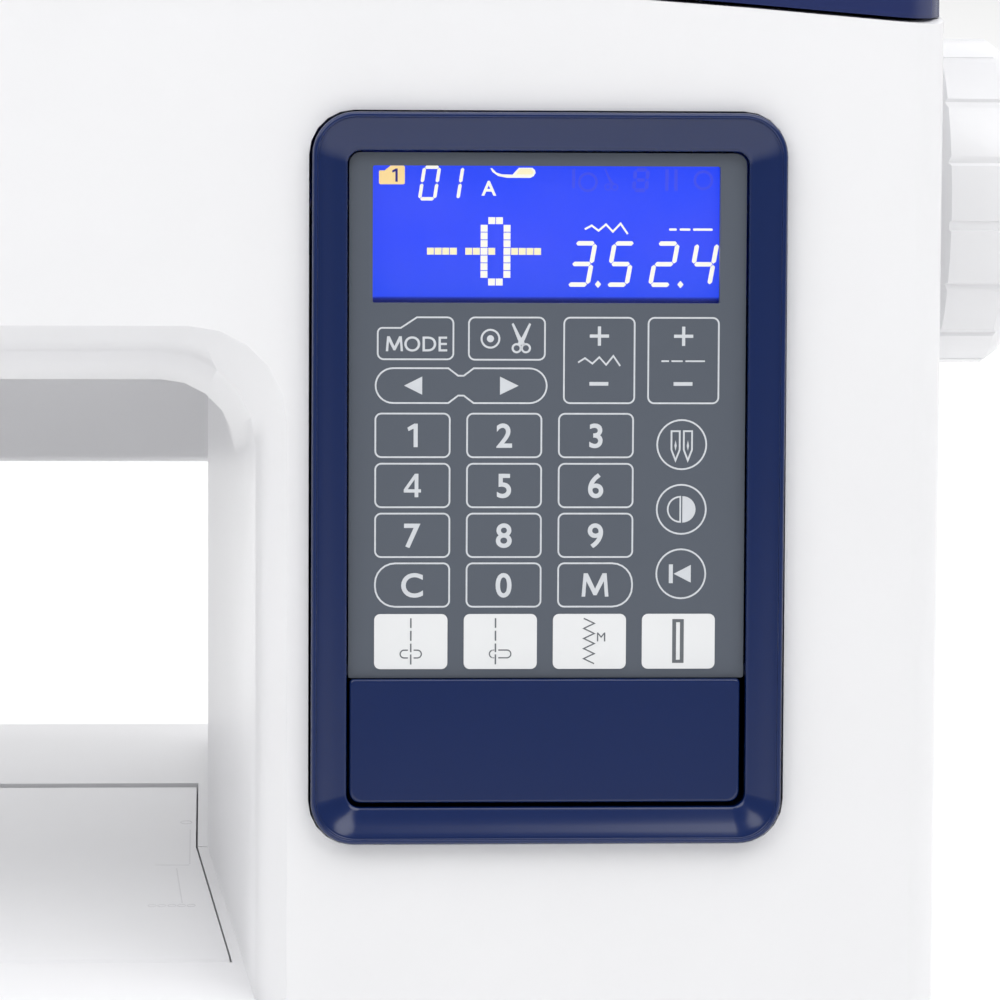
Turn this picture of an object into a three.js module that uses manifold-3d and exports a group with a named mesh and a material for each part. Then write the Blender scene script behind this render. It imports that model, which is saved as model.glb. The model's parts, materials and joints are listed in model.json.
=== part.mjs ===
// Computerised free-arm sewing machine, as an assembly of separate pieces.
// Millimetres, +Z up, +X to the handwheel end, +Y to the back; the sewer sits at -Y.
// The origin is on the table, under the middle of the machine.
import * as THREE from "three";
import { mergeVertices } from "three/addons/utils/BufferGeometryUtils.js";
import Module from "manifold-3d";

const wasm = await Module();
wasm.setup();

// ---------------------------------------------------------------- driving dimensions

const GAP = 0.3; // clearance between neighbouring pieces
const WALL = 2.6; // moulded wall

const BED_Z = 78; // sewing surface
const FOOT_H = 5;
const PLATE_T = 3; // base plate
const CASE_Z = FOOT_H + PLATE_T + GAP; // lower edge of the casings
const LEAN = THREE.MathUtils.degToRad(8); // front face leans back
const FRONT_Y = -88; // front face at bed height
const REAR_Y = 112; // rear edge of the bed
const REAR_SLOPE = 0.2; // rear face, y lost per mm of height
const PARTING_Y = 15; // where front and rear covers meet

const PILLAR_RIGHT = 205;
const HEAD_LEFT = -168;
const HEAD_SPLIT = -150; // face cover is left of this
const HEAD_RIGHT = -72; // harp wall of the head at the parting line
const HEAD_Z = 135; // underside of the head
const HARP_X = 76.6; // harp wall of the pillar at the parting line
const HARP_Z = 180.5; // underside of the arm at the parting line
const FOOT_STRIP = 2; // narrow ledge between harp wall and bed plate
const APRON_X = 20; // left end of the casings' low front and rear parts

const ARM_FRONT_Y = -59; // free arm
const ARM_REAR_Y = 61;
const ARM_LEFT = -189.5;
const TABLE_LEFT = -222.5; // extension table
const TABLE_Z = 4;

const SHAFT_Y = -12; // main shaft, lower shaft and needle share this plane
const SHAFT_Z = 210;
const LOWER_Z = 36;
const NEEDLE_X = -112;
const PRESSER_Y = 4;
const HOOK_Y = -31;

const PANEL_X = 135.7; // control panel centre
const PANEL_Z = 170.5;
const PANEL_W = 82.6;
const PANEL_H = 127.4;
const PANEL_R = 7.5;
const OPENING_W = 69.8;
const OPENING_TOP = 57;
const OPENING_BOTTOM = -57.5;
const FLAP_TOP = -35.2;
const FLAP_BOTTOM = -56.7;
const LCD = { left: -30.5, right: 30, top: 54.4, bottom: 30.6 };

const frontY = (z) => FRONT_Y + (z - BED_Z) * Math.tan(LEAN);
const rearY = (z) => REAR_Y - (z - CASE_Z) * REAR_SLOPE;
const lidLine = (x) => 258.5 - 0.000225 * x * x; // where casing and lid meet
const lidTop = (x) => 292 - 0.0002 * x * x;

// ---------------------------------------------------------------- materials

const plastic = (color, roughness = 0.4) =>
  new THREE.MeshStandardMaterial({ color, roughness, metalness: 0 });
const metal = (color, roughness = 0.35) =>
  new THREE.MeshStandardMaterial({ color, roughness, metalness: 1 });
const WHITE = plastic(0xf3f3f5, 0.35);
const NAVY = plastic(0x262d52, 0.3);
const GREY = plastic(0x55595f, 0.45);
const SCREEN = plastic(0x1a22e6, 0.15);
const BOARD = plastic(0x1f5a38, 0.6);
const BLACK = plastic(0x1b1b1d, 0.6);
const RUBBER = plastic(0x262626, 0.9);
const CLEAR = plastic(0xdfe6ea, 0.1);
const STEEL = metal(0xc4c6c9);
const CAST = metal(0x9a9ca0, 0.6);

// ---------------------------------------------------------------- solids

// A closed geometry as a solid, turned outwards if its faces point in.
function solid(geometry) {
  const bare = geometry.clone();
  bare.deleteAttribute("normal");
  bare.deleteAttribute("uv");
  const merged = mergeVertices(bare, 1e-4);
  const index = Uint32Array.from(merged.index.array);
  const points = merged.attributes.position.array;
  const build = () =>
    new wasm.Manifold(new wasm.Mesh({ numProp: 3, vertProperties: points, triVerts: index }));
  const made = build();
  if (made.volume() >= 0) return made;
  for (let i = 0; i < index.length; i += 3) {
    [index[i + 1], index[i + 2]] = [index[i + 2], index[i + 1]];
  }
  return build();
}

const join = (first, ...rest) => rest.reduce((a, b) => a.add(b), first);
const cut = (first, ...rest) => rest.reduce((a, b) => a.subtract(b), first);

// The geometry of a solid, for a mesh.
function geometryOf(made) {
  const mesh = made.getMesh();
  const points = new Float32Array(mesh.numVert * 3);
  for (let i = 0; i < mesh.numVert; i++) {
    const at = i * mesh.numProp;
    points.set(mesh.vertProperties.subarray(at, at + 3), i * 3);
  }
  return new THREE.BufferGeometry()
    .setAttribute("position", new THREE.BufferAttribute(points, 3))
    .setIndex(new THREE.BufferAttribute(mesh.triVerts, 1));
}

// Points of an arc in a plane, both ends included.
function arc(cx, cy, r, from, to, steps = 5) {
  return Array.from({ length: steps + 1 }, (_, i) => {
    const a = THREE.MathUtils.degToRad(from + ((to - from) * i) / steps);
    return [cx + r * Math.cos(a), cy + r * Math.sin(a)];
  });
}

// A rectangle with round corners; r holds one radius, or four from the upper right, anticlockwise.
function roundRect(x0, y0, x1, y1, r, steps = 5) {
  const [a, b, c, d] = Array.isArray(r) ? r : [r, r, r, r];
  return [
    ...arc(x1 - a, y1 - a, a, 0, 90, steps),
    ...arc(x0 + b, y1 - b, b, 90, 180, steps),
    ...arc(x0 + c, y0 + c, c, 180, 270, steps),
    ...arc(x1 - d, y0 + d, d, 270, 360, steps),
  ];
}

function extrusion(points, depth) {
  const shape = new THREE.Shape(points.map(([x, y]) => new THREE.Vector2(x, y)));
  return new THREE.ExtrudeGeometry(shape, { depth, bevelEnabled: false, curveSegments: 1 });
}

// An (x, y) outline between two heights.
const slab = (points, z0, z1) => solid(extrusion(points, z1 - z0).translate(0, 0, z0));

// A (y, z) outline between two values of x.
function alongX(points, x0, x1) {
  const turn = new THREE.Matrix4().makeBasis(
    new THREE.Vector3(0, 1, 0),
    new THREE.Vector3(0, 0, 1),
    new THREE.Vector3(1, 0, 0),
  );
  return solid(extrusion(points, x1 - x0).applyMatrix4(turn).translate(x0, 0, 0));
}

// An (x, z) outline between two values of y.
function alongY(points, y0, y1) {
  const turn = new THREE.Matrix4().makeBasis(
    new THREE.Vector3(1, 0, 0),
    new THREE.Vector3(0, 0, 1),
    new THREE.Vector3(0, -1, 0),
  );
  return solid(extrusion(points, y1 - y0).applyMatrix4(turn).translate(0, y1, 0));
}

function box(x0, x1, y0, y1, z0, z1) {
  const geometry = new THREE.BoxGeometry(x1 - x0, y1 - y0, z1 - z0);
  return solid(geometry.translate((x0 + x1) / 2, (y0 + y1) / 2, (z0 + z1) / 2));
}

// A round bar from one point to another along an axis: "x", "y" or "z".
function rod(axis, r, from, to, a = 0, b = 0, segments = 16) {
  const geometry = new THREE.CylinderGeometry(r, r, to - from, segments);
  if (axis === "x") geometry.rotateZ(Math.PI / 2);
  if (axis === "z") geometry.rotateX(Math.PI / 2);
  const middle = (from + to) / 2;
  if (axis === "x") geometry.translate(middle, a, b);
  if (axis === "y") geometry.translate(a, middle, b);
  if (axis === "z") geometry.translate(a, b, middle);
  return solid(geometry);
}

// A turned piece about Z from (r, z) points.
function turned(points, segments = 28) {
  const profile = points.map(([r, z]) => new THREE.Vector2(r, z));
  return new THREE.LatheGeometry(profile, segments).rotateX(Math.PI / 2);
}

// A skin through rings of equal point count; capped at both ends, or closed on itself.
function loft(rings, closed = false) {
  const n = rings[0].length;
  const faces = [];
  const spans = closed ? rings.length : rings.length - 1;
  for (let k = 0; k < spans; k++) {
    const a = k * n;
    const b = ((k + 1) % rings.length) * n;
    for (let i = 0; i < n; i++) {
      const j = (i + 1) % n;
      faces.push(a + i, a + j, b + j, a + i, b + j, b + i);
    }
  }
  if (!closed) {
    const last = (rings.length - 1) * n;
    const flat = rings[0].map(([x, , z]) => new THREE.Vector2(x, z));
    const sense = Math.sign(THREE.ShapeUtils.area(flat));
    for (const [i, p, q] of THREE.ShapeUtils.triangulateShape(flat, [])) {
      const turn = flat[p].clone().sub(flat[i]).cross(flat[q].clone().sub(flat[i]));
      const [j, k] = turn * sense > 0 ? [p, q] : [q, p];
      faces.push(i, k, j, last + i, last + j, last + k);
    }
  }
  const geometry = new THREE.BufferGeometry().setIndex(faces);
  geometry.setAttribute("position", new THREE.Float32BufferAttribute(rings.flat(2), 3));
  return solid(geometry);
}

// A flat ring around two wheels, such as a belt, in the (y, z) plane.
function beltLoop(wheelA, wheelB, thickness, x0, x1) {
  const run = (grow) => {
    const [ya, za, ra] = [wheelA.y, wheelA.z, wheelA.r + grow];
    const [yb, zb, rb] = [wheelB.y, wheelB.z, wheelB.r + grow];
    const span = Math.hypot(yb - ya, zb - za);
    const heading = THREE.MathUtils.radToDeg(Math.atan2(zb - za, yb - ya));
    const lean = THREE.MathUtils.radToDeg(Math.acos((ra - rb) / span));
    const far = arc(yb, zb, rb, heading - lean, heading + lean, 12);
    const near = arc(ya, za, ra, heading + lean, heading + 360 - lean, 12);
    return [...far, ...near];
  };
  return cut(
    alongX(run(GAP + thickness), x0, x1),
    alongX(run(GAP), x0 - 1, x1 + 1),
  );
}

// ---------------------------------------------------------------- scene graph

const machine = new THREE.Group();
const panel = new THREE.Group(); // x across, y into the machine, z up the face
panel.position.set(PANEL_X, frontY(PANEL_Z), PANEL_Z);
panel.rotation.x = -LEAN;
machine.add(panel);

const HEAD_PANEL = { x: -118, z: 166, w: 58, h: 38 };
const headPanel = new THREE.Group();
headPanel.position.set(HEAD_PANEL.x, frontY(HEAD_PANEL.z), HEAD_PANEL.z);
headPanel.rotation.x = -LEAN;
machine.add(headPanel);

function add(name, shape, material, parent = machine) {
  const geometry = shape.isBufferGeometry ? shape : geometryOf(shape);
  const mesh = new THREE.Mesh(geometry, material);
  mesh.name = name;
  parent.add(mesh);
  return mesh;
}

// A solid of a leaning group, in the machine's own frame.
function fromGroup(made, group) {
  group.updateMatrixWorld(true);
  return solid(geometryOf(made).applyMatrix4(group.matrixWorld));
}

// ---------------------------------------------------------------- casings

// How far the harp walls spread towards the front: t is 0 at the parting line, 1 at the face.
const BEVEL = 0.93;
const ARM_FLARE_START = 0.57;
const bevelPart = (t) => Math.max(0, (t - BEVEL) / (1 - BEVEL));
const wallFlare = (t) => 9 * Math.min(t, BEVEL) + 5.4 * bevelPart(t);
const armFlare = (t) =>
  (10.8 * Math.max(0, Math.min(t, BEVEL) - ARM_FLARE_START)) / (BEVEL - ARM_FLARE_START) +
  5.5 * bevelPart(t);

// The casing seen from the front, as (x, z): pillar, arm and head around the harp space.
// inset draws the outer edges in, wall draws every edge into the material for the hollow.
function casingOutline({ flareX = 0, flareZ = 0, corner = 9, inset = 0, wall = 0 }) {
  const right = PILLAR_RIGHT - inset - wall;
  const left = HEAD_LEFT + inset + wall;
  const harp = HARP_X + flareX + wall;
  const head = HEAD_RIGHT - flareX - wall;
  const arm = HARP_Z + flareZ + wall;
  const bottom = wall ? CASE_Z - 5 : CASE_Z;
  const rise = wall ? 8 : -Math.min(inset, LID_EDGE_DROP); // the hollow runs out through the top
  const under = HEAD_Z + inset * 0.6 + wall;
  const ledge = BED_Z - wall;
  const top = Array.from({ length: 13 }, (_, i) => {
    const x = left + ((right - left) * i) / 12;
    return [x, lidLine(x) + rise];
  });
  return [
    [harp - FOOT_STRIP, bottom],
    [harp - FOOT_STRIP, ledge],
    [harp, ledge],
    ...arc(harp - corner, arm - corner, corner, 0, 90),
    ...arc(head + 18, arm - 18, 18, 90, 180),
    ...arc(head - 8, under + 8, 8, 0, -90),
    ...arc(left + 9, under + 9, 9, 270, 180),
    ...top,
    [right, BED_Z],
    [right, bottom],
  ];
}

const LID_EDGE_DROP = 0.4; // the casing's edge under the lid stays almost sharp

// Depth of each ring: t from the parting line to the face, with rounded outer edges.
const EDGE = [
  [0, 0],
  [0.34, 0],
  [ARM_FLARE_START, 0],
  [0.75, 0],
  [BEVEL, 0],
  [0.965, 0.9],
  [0.988, 2.8],
  [1, 5.4],
];

function casingRings(face, flare, wall) {
  return EDGE.map(([t, inset]) => {
    const outline = casingOutline({
      flareX: flare ? wallFlare(t) : 3 * bevelPart(t),
      flareZ: flare ? armFlare(t) : 3 * bevelPart(t),
      corner: 9 + 8 * (flare ? t : 0),
      inset,
      wall,
    });
    const back = wall ? Math.sign(face(0) - PARTING_Y) * -0.5 : 0;
    return outline.map(([x, z]) => {
      const skin = face(z) - Math.sign(face(z)) * wall;
      return [x, PARTING_Y + back + (skin - PARTING_Y - back) * t, z];
    });
  });
}

const frontSolid = loft(casingRings(frontY, true, 0));
const rearSolid = loft(casingRings(rearY, false, 0));
const frontHollow = loft(casingRings(frontY, true, WALL));
const rearHollow = loft(casingRings(rearY, false, WALL));

const FAR = 400;
const before = (y) => box(-FAR, FAR, -FAR, y, -FAR, FAR);
const behind = (y) => box(-FAR, FAR, y, FAR, -FAR, FAR);
const leftOf = (x) => box(-FAR, x, -FAR, FAR, -FAR, FAR);

// Low part of the casing in front of or behind the bed, a shell open below and towards the bed.
function apron(face, edge, sign) {
  const outline = (shrink) => {
    const top = BED_Z - shrink;
    const low = CASE_Z - (shrink ? 5 : 0);
    const skin = (z) => face(z) + sign * shrink;
    const inner = edge + (shrink ? sign * 5 : 0);
    const round = [
      [skin(top - 4), top - 4],
      [skin(top) + sign * 0.9, top - 1.2],
      [skin(top) + sign * 3.4, top],
    ];
    return [[skin(low), low], ...round, [inner, top], [inner, low]];
  };
  return cut(
    alongX(outline(0), APRON_X, HARP_X + 17),
    alongX(outline(WALL), APRON_X + WALL, HARP_X + 30),
  );
}

const coreHollow = join(frontHollow, rearHollow);
const shell = cut(join(frontSolid, rearSolid), coreHollow);
const frontApron = cut(apron(frontY, ARM_FRONT_Y - GAP, 1), coreHollow);
const rearApron = cut(apron(() => REAR_Y, ARM_REAR_Y + GAP, -1), coreHollow);
const headFloorHole = box(-139, -86, -42, 24, HEAD_Z - 20, HEAD_Z + 12);
const bedPassage = box(APRON_X + 10, HARP_X + 20, -52, 56, CASE_Z - 5, 68);
const wheelHole = rod("x", 14, PILLAR_RIGHT - 20, PILLAR_RIGHT + 5, SHAFT_Y, SHAFT_Z, 32);

function frontCover() {
  const [w, h] = [PANEL_W / 2 + GAP, PANEL_H / 2 + GAP];
  const panelHole = fromGroup(alongY(roundRect(-w, -h, w, h, PANEL_R + GAP), -30, 12), panel);
  const [bw, bh] = [HEAD_PANEL.w / 2 + GAP, HEAD_PANEL.h / 2 + GAP];
  const buttonHole = fromGroup(alongY(roundRect(-bw, -bh, bw, bh, 9), -30, 14), headPanel);
  const dialSlot = box(DIAL.x - 7, DIAL.x + 7, -110, DIAL.y, DIAL.z - 15, DIAL.z + 15);
  const takeUpSlot = box(TAKE_UP.x - 4, TAKE_UP.x + 4, -110, -48, 198, 247);
  const lampHole = box(LAMP.x0 - GAP, LAMP.x1 + GAP, LAMP.y0 - GAP, LAMP.y1 + GAP, 120, 145);
  const body = cut(shell, behind(PARTING_Y), leftOf(HEAD_SPLIT + GAP));
  return cut(
    join(body, frontApron),
    panelHole,
    buttonHole,
    dialSlot,
    takeUpSlot,
    lampHole,
    headFloorHole,
    bedPassage,
    wheelHole,
  );
}

// Handle ears and lid hinge ears stand on the rear cover.
const HANDLE = { x: 70, y: rearY(228) + 7.5, z: 228, reach: 80 };
const HINGE = { y: rearY(258) + 4.2, z: 262, half: 30 };

function rearCover() {
  const body = cut(shell, before(PARTING_Y + GAP), leftOf(HEAD_SPLIT + GAP));
  const ears = [-1, 1].flatMap((side) => {
    const inner = side * (HANDLE.x - 12);
    const outer = side * HANDLE.x;
    const [x0, x1] = [Math.min(inner, outer), Math.max(inner, outer)];
    const barrel = rod("x", 7, x0, x1, HANDLE.y, HANDLE.z, 24);
    const web = box(x0, x1, rearY(HANDLE.z) - 4, HANDLE.y, HANDLE.z - 7, HANDLE.z + 7);
    const pinHole = rod("x", 3.3, x0 - 1, x1 + 1, HANDLE.y, HANDLE.z, 16);
    const [h0, h1] = [HINGE.half + 0.4, HINGE.half + 6].map((x) => side * x);
    const [hx0, hx1] = [Math.min(h0, h1), Math.max(h0, h1)];
    const post = box(hx0, hx1, rearY(250) - 1, HINGE.y + 3.4, 240, 256);
    const knuckle = box(hx0, hx1, HINGE.y - 3.4, HINGE.y + 3.4, 250, HINGE.z + 3.2);
    const hingeHole = rod("x", 1.9, hx0 - 1, hx1 + 1, HINGE.y, HINGE.z, 16);
    return [cut(join(barrel, web), pinHole), cut(join(post, knuckle), hingeHole)];
  });
  const powerHole = box(
    POWER.x0 - GAP,
    PILLAR_RIGHT + 5,
    POWER.y0 - GAP,
    POWER.y1 + GAP,
    POWER.z0 - GAP,
    POWER.z1 + GAP,
  );
  const leverSlot = box(LIFTER.x - 6.5, LIFTER.x + 6.5, LIFTER.y, FAR, HEAD_Z - 5, 194);
  return cut(
    join(body, rearApron, ...ears),
    headFloorHole,
    leverSlot,
    bedPassage,
    powerHole,
    coreHollow,
  );
}

function faceCover() {
  return cut(shell, box(HEAD_SPLIT, FAR, -FAR, FAR, -FAR, FAR), headFloorHole);
}

// ---------------------------------------------------------------- lid

const LID_R = 12;

// Lid seen from the front; inset draws sides and top in towards its rounded edges.
function lidOutline(inset, drop = 0) {
  const [x0, x1] = [HEAD_LEFT + inset, PILLAR_RIGHT - inset];
  const steps = 12;
  const across = (from, to, height) =>
    Array.from({ length: steps + 1 }, (_, i) => {
      const x = from + ((to - from) * i) / steps;
      return [x, height(x)];
    });
  return [
    ...across(x0, x1, (x) => lidLine(x) + GAP - drop),
    ...arc(x1 - LID_R, lidTop(x1) - inset - LID_R, LID_R, 0, 90, 4),
    ...across(x1 - 2 * LID_R, x0 + 2 * LID_R, (x) => lidTop(x) - inset),
    ...arc(x0 + LID_R, lidTop(x0) - inset - LID_R, LID_R, 90, 180, 4),
  ];
}

function lidRings(wall) {
  const rows = [
    [0, 9],
    [1, 5.6],
    [3.2, 2.6],
    [7, 0.6],
    [12, 0],
  ];
  const front = rows.map(([d, inset]) => [(z) => frontY(z) + d + wall, inset + wall]);
  const rear = rows.map(([d, inset]) => [(z) => rearY(z) - d - wall, inset + wall]).reverse();
  return [...front, ...rear].map(([face, inset]) =>
    lidOutline(inset, wall ? 12 : 0).map(([x, z]) => [x, face(z), z]),
  );
}

function topLid() {
  const lug = cut(
    box(-HINGE.half, HINGE.half, HINGE.y - 6, HINGE.y + 3.4, HINGE.z - 2.6, HINGE.z + 3.4),
    rod("x", 1.9, -HINGE.half - 1, HINGE.half + 1, HINGE.y, HINGE.z, 16),
  );
  return cut(join(loft(lidRings(0)), lug), loft(lidRings(WALL)));
}

// ---------------------------------------------------------------- bed

const armEdge = roundRect(ARM_LEFT, ARM_FRONT_Y, HARP_X + 20, ARM_REAR_Y, [0.5, 12, 12, 0.5]);
const armProfile = (shrink, bottom) => [
  [ARM_FRONT_Y + shrink, bottom],
  ...arc(ARM_FRONT_Y + 3 + shrink, BED_Z - 3 - shrink, 3, 180, 90, 3),
  ...arc(ARM_REAR_Y - 3 - shrink, BED_Z - 3 - shrink, 3, 90, 0, 3),
  [ARM_REAR_Y - shrink, bottom],
];
const NEEDLE_PLATE = { x0: -146, x1: -80, y0: -24, y1: 22, t: 2 };
const HOOK_PLATE = { x0: -146, x1: -80, y0: -55, y1: -24.3, t: 2 };

function freeArmCover() {
  const plan = slab(armEdge, CASE_Z, BED_Z + 1);
  const outside = alongX(armProfile(0, CASE_Z), ARM_LEFT, HARP_X + 20).intersect(plan);
  const inPlan = roundRect(
    ARM_LEFT + WALL,
    ARM_FRONT_Y + WALL,
    HARP_X + 30,
    ARM_REAR_Y - WALL,
    [0.5, 9.5, 9.5, 0.5],
  );
  const inside = alongX(armProfile(WALL, CASE_Z - 5), ARM_LEFT, HARP_X + 30).intersect(
    slab(inPlan, CASE_Z - 5, BED_Z),
  );
  const seat = (plate) =>
    box(plate.x0 - GAP, plate.x1 + GAP, plate.y0 - GAP, plate.y1 + GAP, BED_Z - plate.t - GAP, 90);
  const hole = (plate) => box(plate.x0 + 4, plate.x1 - 4, plate.y0 + 4, plate.y1 - 4, 60, 90);
  const well = box(NEEDLE_X - 24, NEEDLE_X + 24, -51, 0, 60, 90);
  const pillar = join(frontSolid, rearSolid).translate([-GAP - 0.05, 0, 0]);
  return cut(
    outside,
    inside,
    pillar,
    seat(NEEDLE_PLATE),
    seat(HOOK_PLATE),
    hole(NEEDLE_PLATE),
    hole(HOOK_PLATE),
    well,
  );
}

function needlePlate() {
  const p = NEEDLE_PLATE;
  const blank = slab(roundRect(p.x0, p.y0, p.x1, p.y1, 3, 3), BED_Z - p.t, BED_Z);
  const needleSlot = slab(
    roundRect(NEEDLE_X - 4.5, SHAFT_Y - 1, NEEDLE_X + 4.5, SHAFT_Y + 1, 0.9, 3),
    70,
    80,
  );
  const rows = [-7.5, 7.5].map((dx) =>
    box(NEEDLE_X + dx - 1.7, NEEDLE_X + dx + 1.7, -19, 13, 70, 80),
  );
  const rearRow = box(NEEDLE_X - 1.7, NEEDLE_X + 1.7, -5, 13, 70, 80);
  const screws = [-1, 1].map((s) => rod("z", 1.7, 70, 80, NEEDLE_X + s * 28, 10, 12));
  return cut(blank, needleSlot, ...rows, rearRow, ...screws);
}

function feedDog() {
  const bar = box(NEEDLE_X - 9, NEEDLE_X + 9, -16, 10, 68, 72);
  const teeth = [-7.5, 7.5].map((dx) =>
    box(NEEDLE_X + dx - 1.2, NEEDLE_X + dx + 1.2, -16, 10, 71, BED_Z - 0.2),
  );
  const rearTeeth = box(NEEDLE_X - 1.2, NEEDLE_X + 1.2, -2, 10, 71, BED_Z - 0.2);
  const needleGap = box(NEEDLE_X - 5, NEEDLE_X + 5, -15, -8.5, 60, 90);
  return cut(join(bar, ...teeth, rearTeeth), needleGap);
}

function hookPlate() {
  const p = HOOK_PLATE;
  const blank = slab(roundRect(p.x0, p.y0, p.x1 - 10, p.y1, 3, 3), BED_Z - p.t, BED_Z);
  const thumb = slab(roundRect(p.x0 + 4, p.y0 - 5, p.x0 + 12, p.y0 + 3, 1, 2), BED_Z - 1, 90);
  return cut(blank, thumb);
}

function hookPlateLatch() {
  const p = HOOK_PLATE;
  const x0 = p.x1 - 10 + GAP;
  const slide = slab(roundRect(x0, p.y0, x0 + 5.5, p.y1, 0.8, 2), BED_Z - p.t, BED_Z);
  return join(slide, box(x0 + 1.5, x0 + 4, -44, -35, BED_Z - 1, BED_Z + 1.2));
}

// Accessory table: a hollow collar around the free arm, open underneath.
function extensionTable() {
  const right = APRON_X - GAP;
  const section = (shrink, low) => [
    [frontY(low) + shrink, low],
    [frontY(BED_Z) - 0.4 + shrink, BED_Z - 4 - shrink],
    [frontY(BED_Z) + 0.9 + shrink, BED_Z - 1.2 - shrink],
    [frontY(BED_Z) + 3.4 + shrink, BED_Z - shrink],
    [REAR_Y - 3 - shrink, BED_Z - shrink],
    [REAR_Y - shrink, BED_Z - 3 - shrink],
    [REAR_Y - shrink, low],
  ];
  const plan = (shrink) =>
    slab(
      roundRect(
        TABLE_LEFT + shrink,
        frontY(0) - 5 + shrink,
        right + 20,
        REAR_Y - shrink,
        [0.5, 22 - shrink, 22 - shrink, 0.5],
        7,
      ),
      -5,
      BED_Z + 5,
    );
  const outside = alongX(section(0, TABLE_Z), TABLE_LEFT, right).intersect(plan(0));
  const inside = alongX(section(WALL, TABLE_Z - 8), TABLE_LEFT + WALL, right - WALL).intersect(
    plan(WALL),
  );
  const collar = (grow, z0) =>
    slab(
      roundRect(
        ARM_LEFT - grow,
        ARM_FRONT_Y - grow,
        right + 30,
        ARM_REAR_Y + grow,
        [0.5, 12, 12, 0.5],
      ),
      z0,
      BED_Z + 5,
    );
  const lining = collar(GAP + WALL, -20);
  return cut(outside, cut(inside, lining), collar(GAP, -21));
}

function basePlate() {
  const top = FOOT_H + PLATE_T;
  const arm = slab(roundRect(ARM_LEFT + 1, ARM_FRONT_Y + 1, 60, ARM_REAR_Y - 1, 10), FOOT_H, top);
  const frontEdge = frontY(FOOT_H) + 1.5;
  const foot = slab(roundRect(APRON_X + 1, frontEdge, PILLAR_RIGHT - 1, REAR_Y - 1, 8), FOOT_H, top);
  const vents = Array.from({ length: 6 }, (_, i) => box(110 + i * 8, 114 + i * 8, -20, 30, 0, 12));
  return cut(join(arm, foot), ...vents);
}

// ---------------------------------------------------------------- head

const DIAL = { x: -135, y: -57, z: 216, r: 16 };
const TAKE_UP = { x: -102, y: -40, z: 206 };
const LAMP = { x0: -126, x1: -104, y0: -66, y1: -50 };
const BUTTON_Z = -9; // in the head panel
const BUTTONS = ["start_stop", "reverse", "auto_lock", "needle_up_down"];
const buttonX = (i) => -20.4 + i * 13.6;
const SLIDER_Z = 10;

function buttonPanel() {
  const { w, h } = HEAD_PANEL;
  const plate = alongY(roundRect(-w / 2, -h / 2, w / 2, h / 2, 9), -2, 3);
  const holes = BUTTONS.map((_, i) => rod("y", 5.7, -5, 6, buttonX(i), BUTTON_Z, 18));
  const track = alongY(roundRect(-26, SLIDER_Z - 2, 26, SLIDER_Z + 2, 1.9, 4), -5, 6);
  return cut(plate, ...holes, track);
}

function pushButton(i) {
  const cap = rod("y", 5.2, -4.4, 7, buttonX(i), BUTTON_Z, 18);
  return join(cap, rod("y", 6.4, 5.5, 7.5, buttonX(i), BUTTON_Z, 18));
}

function speedSlider() {
  const stem = box(-1.6, 1.6, -3, 8, SLIDER_Z - 1.6, SLIDER_Z + 1.6);
  const thumb = alongY(roundRect(-4.5, SLIDER_Z - 5.5, 4.5, SLIDER_Z + 5.5, 1.5, 3), -6, -2.4);
  return join(stem, thumb, box(-4.5, 4.5, 4, 7, SLIDER_Z - 4, SLIDER_Z + 4));
}

function tensionDial() {
  const wheel = turned([
    [0, -5],
    [DIAL.r - 1.5, -5],
    [DIAL.r, -3.5],
    [DIAL.r, 3.5],
    [DIAL.r - 1.5, 5],
    [0, 5],
  ]);
  return wheel.rotateY(Math.PI / 2);
}

// Take-up lever: a flat steel arm with a thread eye, rocking about its inner end.
function takeUpLever() {
  const plate = (points) => alongX(points, -1, 1);
  const angle = Math.atan2(29, -34);
  const [c, s] = [Math.cos(angle), Math.sin(angle)];
  const along = (d, side) => [d * c - side * s, d * s + side * c];
  const arm = plate([along(0, -4), along(44, -2.4), along(46, 0), along(44, 2.4), along(0, 4)]);
  const boss = rod("x", 6, -3, 3);
  const eye = rod("x", 1.1, -3, 3, ...along(40.5, 0), 12);
  return cut(join(arm, boss), rod("x", 2.3, -5, 5, 0, 0, 16), eye);
}

const BAR_R = 3.2;
const CLAMP_Z = 117;
const BAR_TOP = 224;

function needleBar() {
  const bar = rod("z", BAR_R, CLAMP_Z + 1, BAR_TOP, NEEDLE_X, SHAFT_Y);
  const bush = box(NEEDLE_X - 4, NEEDLE_X + 6, SHAFT_Y - 4.4, SHAFT_Y + 4.4, 183, 191);
  return cut(join(bar, bush), rod("z", 1.3, CLAMP_Z - 2, CLAMP_Z + 10, NEEDLE_X, SHAFT_Y, 12));
}

function needleClamp() {
  const ring = rod("z", 5.2, CLAMP_Z, CLAMP_Z + 9, NEEDLE_X, SHAFT_Y);
  const lug = box(NEEDLE_X + 2, NEEDLE_X + 7.5, SHAFT_Y - 2.6, SHAFT_Y + 2.6, CLAMP_Z, CLAMP_Z + 9);
  return cut(
    join(ring, lug),
    rod("z", BAR_R + GAP, CLAMP_Z - 1, CLAMP_Z + 12, NEEDLE_X, SHAFT_Y),
    rod("x", 1.6, NEEDLE_X + 4, NEEDLE_X + 9, SHAFT_Y, CLAMP_Z + 4.5, 12),
  );
}

function clampScrew() {
  const thread = rod("x", 1.3, NEEDLE_X + 4.6, NEEDLE_X + 9, SHAFT_Y, CLAMP_Z + 4.5, 12);
  return join(thread, rod("x", 3.6, NEEDLE_X + 7.9, NEEDLE_X + 14, SHAFT_Y, CLAMP_Z + 4.5, 18));
}

const NEEDLE_TIP = 87;

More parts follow.
